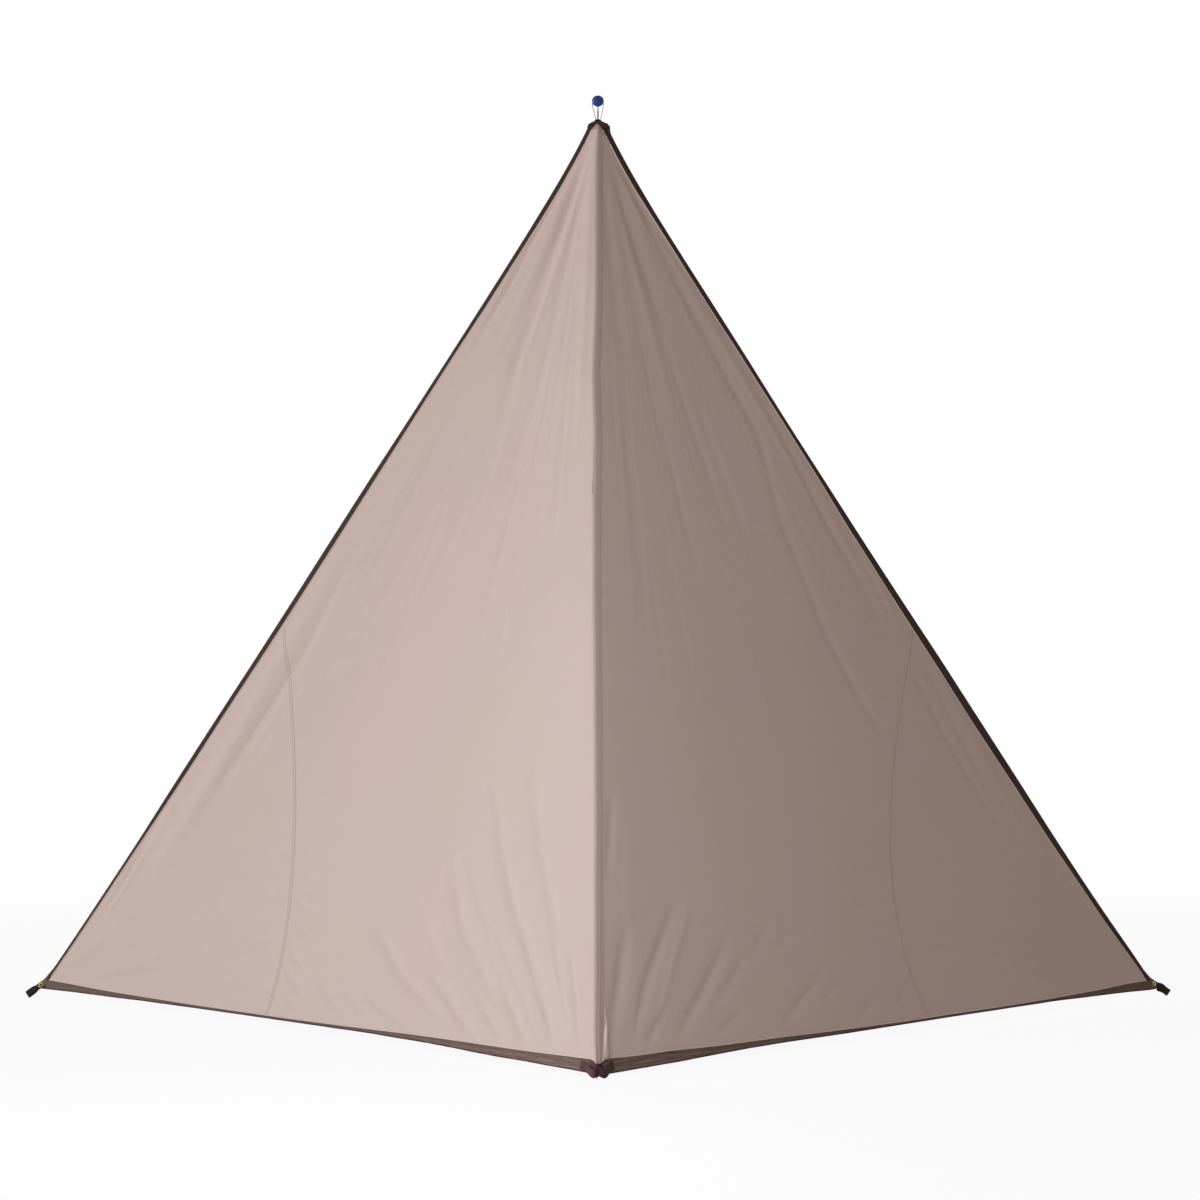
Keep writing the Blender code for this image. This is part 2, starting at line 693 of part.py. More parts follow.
def make_saddle(dark, brass):
    """Webbing over the apex with the spike's grommet in it, and its slack fold on the right."""
    washer_top = POLE_LENGTH + CLEARANCE + GROMMET_SHEET
    level = washer_top + CLEARANCE + SADDLE / 2
    half = SADDLE_HALF
    out = SADDLE_HALF + SADDLE_FOLD_OUT
    route = [
        (-half, level - SADDLE_SLOPE),
        (-half * 0.75, level - SADDLE_SLOPE * 0.35),
        (-half * 0.45, level),
        (0.0, level),
        (half * 0.45, level),
        (half * 0.75, level - SADDLE_SLOPE * 0.35),
        (half, level - SADDLE_SLOPE),
        (out - 0.0020, level - SADDLE_SLOPE * 1.7),
        (out - 0.0003, level - SADDLE_SLOPE * 2.7),
        (out, level - SADDLE_FOLD_DROP * 0.6),
        (out + 0.0003, level - SADDLE_FOLD_DROP),
    ]
    rows = [[Vector((x, y, z)) for y in (-SADDLE_DEPTH / 2, SADDLE_DEPTH / 2)] for x, z in route]
    thing = sheet("apex_saddle", rows, SADDLE, dark)
    centre = Matrix.Translation((0, 0, level))
    bore = turned("apex_hole", hole_profile(GROMMET_BARREL + CLEARANCE), 20, dark, centre)
    cut(thing, bore)
    turned("apex_grommet", eyelet_profile(SADDLE / 2), 18, brass, centre)
    turned("apex_grommet_washer", washer_profile(SADDLE / 2), 18, brass, centre)


def tube(name, radius, wall, low, high, material, sides=32):
    profile = [
        (radius - wall, low),
        (radius, low),
        (radius, high),
        (radius - wall, high),
    ]
    return turned(name, profile, sides, material)


def make_pole(aluminium, steel, black, rubber):
    upper_foot = LOWER_TOP - UPPER_OVERLAP
    upper_head = POLE_LENGTH - PLUG_HEAD - CLEARANCE
    lower_foot = FOOT_SOLE + CLEARANCE
    tube("pole_lower_tube", LOWER_RADIUS, LOWER_WALL, lower_foot, LOWER_TOP, aluminium)
    tube("pole_upper_tube", UPPER_RADIUS, UPPER_WALL, upper_foot, upper_head, aluminium)

    bore = LOWER_RADIUS + CLEARANCE
    turned("pole_foot_cap", [
        (0, 0),
        (FOOT_RADIUS - 0.002, 0),
        (FOOT_RADIUS, 0.002),
        (FOOT_RADIUS, FOOT_SOLE + 0.006),
        (FOOT_RADIUS - 0.0025, FOOT_HEIGHT - 0.002),
        (FOOT_RADIUS - 0.0035, FOOT_HEIGHT),
        (bore, FOOT_HEIGHT),
        (bore, FOOT_SOLE),
        (0, FOOT_SOLE),
    ], 32, rubber)

    slide = LOWER_RADIUS - LOWER_WALL - CLEARANCE
    seat = UPPER_RADIUS - UPPER_WALL - CLEARANCE
    turned("pole_guide_bush", [
        (seat - 0.002, upper_foot - BUSH_LENGTH / 2),
        (slide, upper_foot - BUSH_LENGTH / 2),
        (slide, upper_foot - CLEARANCE),
        (seat, upper_foot - CLEARANCE),
        (seat, upper_foot + BUSH_LENGTH / 2),
        (seat - 0.002, upper_foot + BUSH_LENGTH / 2),
    ], 32, black)

    shoulder = POLE_LENGTH
    socket = SPIKE_RADIUS + CLEARANCE
    turned("pole_top_plug", [
        (0, upper_head - PLUG_SPIGOT),
        (seat, upper_head - PLUG_SPIGOT),
        (seat, upper_head + CLEARANCE),
        (UPPER_RADIUS, upper_head + CLEARANCE),
        (UPPER_RADIUS, shoulder - PLUG_CONE),
        (PLUG_TOP_RADIUS, shoulder),
        (socket, shoulder),
        (socket, shoulder - SPIKE_ROOT - CLEARANCE),
        (0, shoulder - SPIKE_ROOT - CLEARANCE),
    ], 32, black)

    turned("pole_spike", [
        (0, shoulder - SPIKE_ROOT),
        (SPIKE_RADIUS, shoulder - SPIKE_ROOT),
        (SPIKE_RADIUS, shoulder + SPIKE_HEIGHT * 0.55),
        (SPIKE_TIP_RADIUS, shoulder + SPIKE_HEIGHT - 0.001),
        (SPIKE_TIP_RADIUS * 0.5, shoulder + SPIKE_HEIGHT),
        (0, shoulder + SPIKE_HEIGHT),
    ], 16, steel)


def make_clamp(black, steel, grey):
    middle = LOWER_TOP
    low, high = middle - COLLAR_HEIGHT * 0.6, middle + COLLAR_HEIGHT * 0.4
    step = LOWER_TOP + CLEARANCE
    collar = turned("clamp_collar", [
        (LOWER_RADIUS + CLEARANCE, low),
        (COLLAR_RADIUS - 0.001, low),
        (COLLAR_RADIUS, low + 0.001),
        (COLLAR_RADIUS, high - 0.002),
        (COLLAR_RADIUS - 0.002, high),
        (UPPER_RADIUS + CLEARANCE, high),
        (UPPER_RADIUS + CLEARANCE, step),
        (LOWER_RADIUS + CLEARANCE, step),
    ], 40, black)
    ear_low, ear_high = middle - EAR_HEIGHT / 2, middle + EAR_HEIGHT / 2
    ear_root = COLLAR_RADIUS - 0.003
    ear_out = COLLAR_SLOT / 2 + EAR_THICKNESS
    ear_back = COLLAR_RADIUS + EAR_REACH
    ears = block("clamp_ears", (-ear_out, ear_root, ear_low), (ear_out, ear_back, ear_high), black)
    join(collar, ears)
    slot = block("clamp_slot", (-COLLAR_SLOT / 2, 0, low - 0.01),
                 (COLLAR_SLOT / 2, ear_back + 0.01, high + 0.01), black)
    cut(collar, slot)
    across = Matrix.Rotation(math.pi / 2, 4, "Y")
    at_bolt = Matrix.Translation((0, BOLT_OUT, middle)) @ across
    bolt_hole = turned("clamp_bolt_hole", hole_profile(BOLT_RADIUS + CLEARANCE, 0.02), 20, black, at_bolt)
    cut(collar, bolt_hole)

    pin_x = ear_out + CLEARANCE + CAM_RADIUS
    bolt_end = -ear_out - CLEARANCE - NUT_LENGTH - 0.002
    bolt = turned("clamp_bolt", [
        (0, bolt_end),
        (BOLT_RADIUS, bolt_end),
        (BOLT_RADIUS, pin_x - PIN_RADIUS - 0.001),
        (0, pin_x - PIN_RADIUS - 0.001),
    ], 20, steel, at_bolt)
    upright = Matrix.Translation((pin_x, BOLT_OUT, middle))
    half_eye = EYE_HEIGHT / 2
    eye = turned("clamp_bolt_eye", [
        (PIN_RADIUS + CLEARANCE, -half_eye),
        (EYE_RADIUS, -half_eye),
        (EYE_RADIUS, half_eye),
        (PIN_RADIUS + CLEARANCE, half_eye),
    ], 24, steel, upright)
    join(bolt, eye)
    nut_face = -ear_out - CLEARANCE
    nut = turned("clamp_nut", [
        (0, nut_face - NUT_LENGTH),
        (NUT_RADIUS, nut_face - NUT_LENGTH),
        (NUT_RADIUS, nut_face),
        (0, nut_face),
    ], 6, steel, at_bolt)
    thread = turned("clamp_nut_bore", hole_profile(BOLT_RADIUS + CLEARANCE, 0.03), 20, steel, at_bolt)
    cut(nut, thread)

    cheek_low = half_eye + CLEARANCE
    cheek_high = cheek_low + CAM_CHEEK
    pin_half = cheek_high + 0.001
    turned("clamp_lever_pin", [
        (0, -pin_half),
        (PIN_RADIUS, -pin_half),
        (PIN_RADIUS, pin_half),
        (0, pin_half),
    ], 20, steel, upright)
    make_lever(grey, pin_x, cheek_low, cheek_high, middle)


def make_lever(grey, pin_x, cheek_low, cheek_high, middle):
    """Two cam cheeks on the pin, and a handle that lies round the collar when it is closed."""
    inner = COLLAR_RADIUS + LEVER_GAP
    outer = inner + LEVER_THICKNESS
    pin = Vector((pin_x, BOLT_OUT, 0))
    bore = PIN_RADIUS + CLEARANCE
    pivot = Matrix.Translation((pin_x, BOLT_OUT, middle))
    lever = turned("clamp_lever", [
        (bore, -cheek_high),
        (CAM_RADIUS, -cheek_high),
        (CAM_RADIUS, cheek_high),
        (bore, cheek_high),
    ], 24, grey, pivot)

    root = Vector((CAM_RADIUS * 0.30, -CAM_RADIUS * 0.70 - 0.001, 0))
    steps = 12
    start = math.radians(38)
    radius = (inner + outer) / 2
    line = [pin + root]
    for k in range(steps + 1):
        angle = start - LEVER_SWEEP * k / steps
        line.append(Vector((math.cos(angle), math.sin(angle), 0)) * radius)
    tip_way = (line[-1] - line[-2]).normalized()
    line.append(line[-1] + tip_way * 0.004 + line[-1].normalized() * 0.002)
    points, faces = [], []
    half = LEVER_THICKNESS / 2
    for k, here in enumerate(line):
        before, after = line[max(k - 1, 0)], line[min(k + 1, len(line) - 1)]
        way = (after - before).normalized()
        side = Vector((way.y, -way.x, 0)) * half
        for offset, z in ((-1, -cheek_high), (1, -cheek_high), (1, cheek_high), (-1, cheek_high)):
            points.append(here + side * offset + Vector((0, 0, middle + z)))
    for k in range(len(line) - 1):
        for c in range(4):
            a, b = k * 4 + c, k * 4 + (c + 1) % 4
            faces.append((a, b, b + 4, a + 4))
    faces.append((3, 2, 1, 0))
    last = (len(line) - 1) * 4
    faces.append((last, last + 1, last + 2, last + 3))
    handle = add_object("clamp_lever_handle", points, faces, grey)
    recalculate(handle)
    join(lever, handle)
    clear = EYE_RADIUS + 0.0030
    gap = turned("clamp_lever_slot", [
        (0, -cheek_low),
        (clear, -cheek_low),
        (clear, cheek_low),
        (0, cheek_low),
    ], 24, grey, pivot)
    cut(lever, gap)


def recalculate(thing):
    """Turns a closed mesh's faces outwards."""
    shape = bmesh.new()
    shape.from_mesh(thing.data)
    bmesh.ops.recalc_face_normals(shape, faces=shape.faces)
    shape.to_mesh(thing.data)
    shape.free()


def make_ball_cap(blue, teal, dark):
    centre = POLE_LENGTH + BALL_HEIGHT
    steps = 14
    socket = SPIKE_RADIUS + CLEARANCE
    floor = POLE_LENGTH + SPIKE_HEIGHT + CLEARANCE
    profile = [(socket, floor), (socket, centre - BALL_NECK + 0.0012)]
    bottom = -math.pi / 2 + math.radians(38)
    for k in range(steps + 1):
        angle = mix(bottom, math.pi / 2, k / steps)
        profile.append((BALL_RADIUS * math.cos(angle), centre + BALL_RADIUS * math.sin(angle)))
    profile[-1] = (0, centre + BALL_RADIUS)
    profile.append((0, floor))
    ball = turned("ball_cap", profile, 28, blue)
    level = centre - CORD_DROP
    across = Matrix.Translation((0, 0, level)) @ Matrix.Rotation(math.pi / 2, 4, "Y")
    hole = turned("ball_cord_hole", hole_profile(CORD_HOLE, BALL_RADIUS + 0.002), 12, blue, across)
    cut(ball, hole)

    washer_top = POLE_LENGTH + CLEARANCE + GROMMET_SHEET
    saddle_top = washer_top + CLEARANCE + SADDLE
    ring_low = saddle_top + CLEARANCE + GROMMET_SHEET * 1.4 + CLEARANCE
    ring_high = ring_low + RING_HEIGHT
    inner = SPIKE_RADIUS + CLEARANCE
    turned("spike_ring", [
        (inner, ring_low),
        (RING_RADIUS - 0.001, ring_low),
        (RING_RADIUS, ring_low + 0.002),
        (RING_RADIUS - 0.001, ring_high - 0.001),
        (RING_RADIUS - 0.003, ring_high),
        (inner, ring_high),
    ], 24, dark)

    side = math.sqrt(BALL_RADIUS ** 2 - CORD_DROP ** 2) + CORD_RADIUS * 1.2
    foot = ring_high + CLEARANCE
    bend = level - CORD_RADIUS * 1.6
    half = [
        (CORD_FOOT, foot),
        (mix(CORD_FOOT, side, 0.5), mix(foot, bend, 0.5)),
        (side, bend),
        (side - CORD_RADIUS * 1.6, level),
        (side * 0.5, level),
    ]
    route = [Vector((-x, 0, z)) for x, z in half] + [Vector((0, 0, level))]
    route += [Vector((x, 0, z)) for x, z in reversed(half)]
    make_cord("ball_cord", route, teal)


def make_cord(name, route, material):
    curve = bpy.data.curves.new(name, "CURVE")
    curve.dimensions = "3D"
    curve.bevel_depth = CORD_RADIUS
    curve.bevel_resolution = 2
    curve.use_fill_caps = True
    line = curve.splines.new("POLY")
    fine = through(route, 2)
    line.points.add(len(fine) - 1)
    for point, place in zip(line.points, fine):
        point.co = (*place, 1)
    curve.materials.append(material)
    thing = bpy.data.objects.new(name, curve)
    bpy.context.scene.collection.objects.link(thing)
    return thing


def main():
    for thing in list(bpy.data.objects):
        bpy.data.objects.remove(thing)

    beige = finish("beige polyester", (0.48, 0.38, 0.34), 0.75)
    seam = finish("beige seam", (0.40, 0.30, 0.27), 0.80)
    hem = finish("brown hem fabric", (0.105, 0.080, 0.066), 0.70)
    webbing = finish("dark brown webbing", (0.040, 0.027, 0.020), 0.85)
    brass = finish("brass", (0.62, 0.47, 0.22), 0.30, 1.0)
    aluminium = finish("aluminium", (0.62, 0.62, 0.63), 0.38, 1.0)
    steel = finish("steel", (0.55, 0.55, 0.56), 0.35, 1.0)
    black = finish("black plastic", (0.02, 0.02, 0.022), 0.45)
    grey = finish("grey plastic", (0.10, 0.10, 0.11), 0.40)
    rubber = finish("black rubber", (0.015, 0.015, 0.015), 0.80)
    blue = finish("blue plastic", (0.026, 0.072, 0.300), 0.35)
    teal = finish("pale cord", (0.42, 0.55, 0.52), 0.70)

    for side, label in ((-1, "left"), (1, "right")):
        make_panels(side, label, beige)
        make_seam_tape(side, label, seam)
        make_edge_webbing(side, label, webbing)
        make_hem_band(side, label, hem)
        make_corner_patch(side, label, webbing)
        make_side_grommet(side, label, brass)
        make_side_loop(side, label, webbing)
    make_ridge(seam, webbing)
    make_front_corner(webbing)
    make_front_loop(webbing)
    make_saddle(webbing, brass)
    make_pole(aluminium, steel, black, rubber)
    make_clamp(black, steel, grey)
    make_ball_cap(blue, teal, webbing)


main()
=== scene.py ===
import math

import bpy
import numpy as np
from mathutils import Matrix, Vector


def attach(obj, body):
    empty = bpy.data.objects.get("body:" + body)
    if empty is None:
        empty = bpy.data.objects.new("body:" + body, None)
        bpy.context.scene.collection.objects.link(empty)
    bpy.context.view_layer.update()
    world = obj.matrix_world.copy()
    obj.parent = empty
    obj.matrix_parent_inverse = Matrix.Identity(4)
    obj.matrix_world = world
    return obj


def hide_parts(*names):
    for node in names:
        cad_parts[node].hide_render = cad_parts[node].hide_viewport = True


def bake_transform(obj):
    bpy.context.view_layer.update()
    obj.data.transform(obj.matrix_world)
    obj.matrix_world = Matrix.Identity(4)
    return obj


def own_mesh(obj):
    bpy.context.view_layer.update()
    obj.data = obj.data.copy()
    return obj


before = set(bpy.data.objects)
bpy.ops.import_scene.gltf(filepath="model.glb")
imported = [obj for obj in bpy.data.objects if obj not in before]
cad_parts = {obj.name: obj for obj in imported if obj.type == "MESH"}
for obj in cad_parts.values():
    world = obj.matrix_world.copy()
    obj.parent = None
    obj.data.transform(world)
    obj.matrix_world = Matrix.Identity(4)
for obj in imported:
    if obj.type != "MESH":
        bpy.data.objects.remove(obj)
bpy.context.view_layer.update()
print("frame loaded:", len(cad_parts), "solids")

# The pitched shape, in metres, with the same points and curves as the solids
pitch = {
    "poleLength": 2.400,      # ground to the pole's shoulder
    "halfSpan": 1.5655,       # pole to each side corner, across
    "backReach": 0.550,
    "frontReach": 1.084,
    "sideHeight": 0.048,
    "frontHeight": 0.034,
    "apexDrop": 0.0024,
    "apexReach": 0.016,
    "apexFlare": 0.0225,
    "flareLength": 0.150,
    "ridgeSag": 0.012,
    "edgeSag": {-1: (0.0090, 0.0130), 1: (0.0120, 0.0170)},   # at the top and at the foot
    "edgeSquare": (4, 6),
    "edgeLower": 0.7,         # where the foot's values hold fully
    # what the edge stands further out than that curve
    "edgeDrift": {
        -1: [(0, 0), (0.20, 0.0016), (0.333, 0.0025), (0.40, 0.0048), (0.471, 0.0040),
             (0.541, 0.0016), (0.612, 0.0010), (0.683, 0.0028), (0.755, 0.0022), (0.828, -0.0014),
             (0.876, -0.0008), (1, 0)],
        1: [(0, 0), (0.10, 0.0004), (0.20, 0.0040), (0.26, 0.0033), (0.333, -0.0010),
            (0.40, -0.0012), (0.471, -0.0018), (0.541, 0.0004), (0.612, 0.0040), (0.683, 0.0034),
            (0.755, 0.0025), (0.828, -0.0006), (0.876, -0.0006), (0.925, 0.0012), (0.95, 0.0036),
            (0.975, 0.0040), (1, 0.0014)],
    },
    "crestRound": 0.0055,
    "crestFade": (0.03, 0.02, 0.05),      # how the round dies away: at the top, the foot, across
    # how far the crest lies to the left, down its length
    "ridgeBow": [(0, 0), (0.035, 0.0012), (0.07, 0.0016), (0.12, 0.0027), (0.174, 0.0031),
                 (0.20, 0.0037), (0.235, 0.0060), (0.27, 0.0094), (0.285, 0.0110),
                 (0.315, 0.0096), (0.343, 0.0068), (0.37, 0.0064), (0.40, 0.0070),
                 (0.43, 0.0092), (0.54, 0.0088), (0.60, 0.0070), (0.70, 0.0056), (0.78, 0.0044),
                 (0.82, 0.0056), (0.85, 0.0053), (0.93, 0.0051), (0.975, 0.0056), (1, 0.0036)],
    "hemSag": 0.007,
    "hemNotch": 0.0076,
    "notchReach": 0.004,
    # what the wind adds to the hem's sag, from the ridge to the corner
    "hemDrift": {
        -1: [(0, 0.0006), (0.03, 0.0006), (0.05, 0.0006), (0.08, 0.0003), (0.112, 0.0005),
             (0.157, -0.0007), (0.2, -0.0022), (0.241, -0.0029), (0.3, -0.0033), (0.35, -0.0023),
             (0.404, -0.0012), (0.45, -0.0004), (0.501, 0.0005), (0.6, 0.0012), (0.69, 0.0022),
             (0.78, 0.0023), (0.85, 0.0024), (0.9, 0.0017), (0.95, -0.0000), (1, -0.0006)],
        1: [(0, 0.0006), (0.03, 0.0018), (0.05, 0.0030), (0.08, 0.0025), (0.112, 0.0013),
            (0.157, 0.0030), (0.2, 0.0043), (0.241, 0.0039), (0.3, 0.0040), (0.35, 0.0054),
            (0.404, 0.0063), (0.45, 0.0069), (0.501, 0.0076), (0.6, 0.0067), (0.69, 0.0073),
            (0.78, 0.0067), (0.85, 0.0052), (0.9, 0.0036), (0.95, 0.0001), (1, 0.0008)],
    },
    "belly": 0.010,
    "seamUp": 1.262,          # curved seam, from the corner up the edge
    "seamAlong": 1.006,       # and along the hem
    "seamShape": {-1: (1.24, 1.02), 1: (1.50, 0.93)},
    "layer": 0.0010,          # room that one layer of cloth takes in the solids
    "clearance": 0.0003,
}

canopyBody = "canopy_and_lower_pole"
poleBody = "upper_pole"
sides = ((-1, "left"), (1, "right"))
clearance = pitch["clearance"]


def unit(vector):
    return vector / np.linalg.norm(vector)


def units(rows):
    return rows / np.linalg.norm(rows, axis=1)[:, None]


def smooth(value):
    value = np.clip(value, 0.0, 1.0)
    return value * value * (3 - 2 * value)


def mix(a, b, share):
    return a + (b - a) * share


def follow(table, spot, steps=401):
    places, values = zip(*table)
    fine = np.linspace(places[0], places[-1], steps)
    rough = np.interp(fine, places, values)
    soft = np.convolve(np.pad(rough, 6, mode="edge"), np.hanning(15)[1:-1] / 7.0, "valid")
    return np.interp(spot, fine, soft)


# shape of the canopy: u runs from the ridge to the side edge, v from the apex to the hem

ridgeTop = np.array([0, -pitch["apexReach"], pitch["poleLength"] - pitch["apexDrop"]])
ridgeFoot = np.array([0, -pitch["frontReach"], pitch["frontHeight"]])
ridgeRun = unit(ridgeFoot - ridgeTop)


def sideCorner(side):
    return np.array([side * pitch["halfSpan"], pitch["backReach"], pitch["sideHeight"]])


def panelNormal(side):
    return unit(np.cross(ridgeFoot - ridgeTop, sideCorner(side) - ridgeFoot)) * side


def hemWay(side):
    return unit(sideCorner(side) - ridgeFoot)


def hemDown(side):
    down = unit(np.cross(hemWay(side), panelNormal(side)))
    return down if down[2] < 0 else -down


def onCloth(side, points):
    return np.stack([points @ hemWay(side), points @ hemDown(side)], 1)


forward = unit(panelNormal(-1) + panelNormal(1))
edgeLength = np.linalg.norm(sideCorner(1) - ridgeTop)
hemLength = np.linalg.norm(sideCorner(1) - ridgeFoot)
seamTop = 1 - pitch["seamUp"] / edgeLength


def ridgeLine(v):
    inward = np.array([0, -ridgeRun[2], ridgeRun[1]])
    sag = pitch["ridgeSag"] * 4 * v * (1 - v)
    line = ridgeTop + (ridgeFoot - ridgeTop) * v[:, None] + inward * sag[:, None]
    line[:, 0] -= follow(pitch["ridgeBow"], v)
    return line


def sideEdge(side, v):
    along = hemWay(side)
    flare = pitch["apexFlare"] / abs(along[0]) * np.exp(-v * edgeLength / pitch["flareLength"])
    lower = smooth(v / pitch["edgeLower"])
    sag = mix(*pitch["edgeSag"][side], lower)
    out = flare - sag * (1 - np.abs(1 - 2 * v) ** mix(*pitch["edgeSquare"], lower))
    out += follow(pitch["edgeDrift"][side], v)
    return ridgeTop + (sideCorner(side) - ridgeTop) * v[:, None] + along * out[:, None]


def widthAt(side, v):
    return np.linalg.norm(sideEdge(side, v) - ridgeLine(v), axis=1)


def panelPoint(side, u, v, lift=0.0):
    flat = mix(ridgeLine(v), sideEdge(side, v), u[:, None])
    notch = pitch["hemNotch"] * (1 - np.exp(-np.maximum(u, 0) / pitch["notchReach"])) * (1 - u) ** 2
    droop = pitch["hemSag"] * 4 * u * (1 - u) - notch + follow(pitch["hemDrift"][side], u)
    droop *= v ** 4
    bow = pitch["belly"] * (4 * u * (1 - u)) ** 2 * np.sin(math.pi * v) ** 2
    out = lift - bow
    return flat + hemDown(side) * droop[:, None] + panelNormal(side) * out[:, None]


def seamU(side, v):
    up = (1 - v) * edgeLength
    share = np.minimum(up / pitch["seamUp"], 1.0)
    top, foot = pitch["seamShape"][side]
    along = pitch["seamAlong"] * (1 - share ** top) ** (1 / foot)
    return 1 - along / hemLength / np.maximum(v, 0.01)


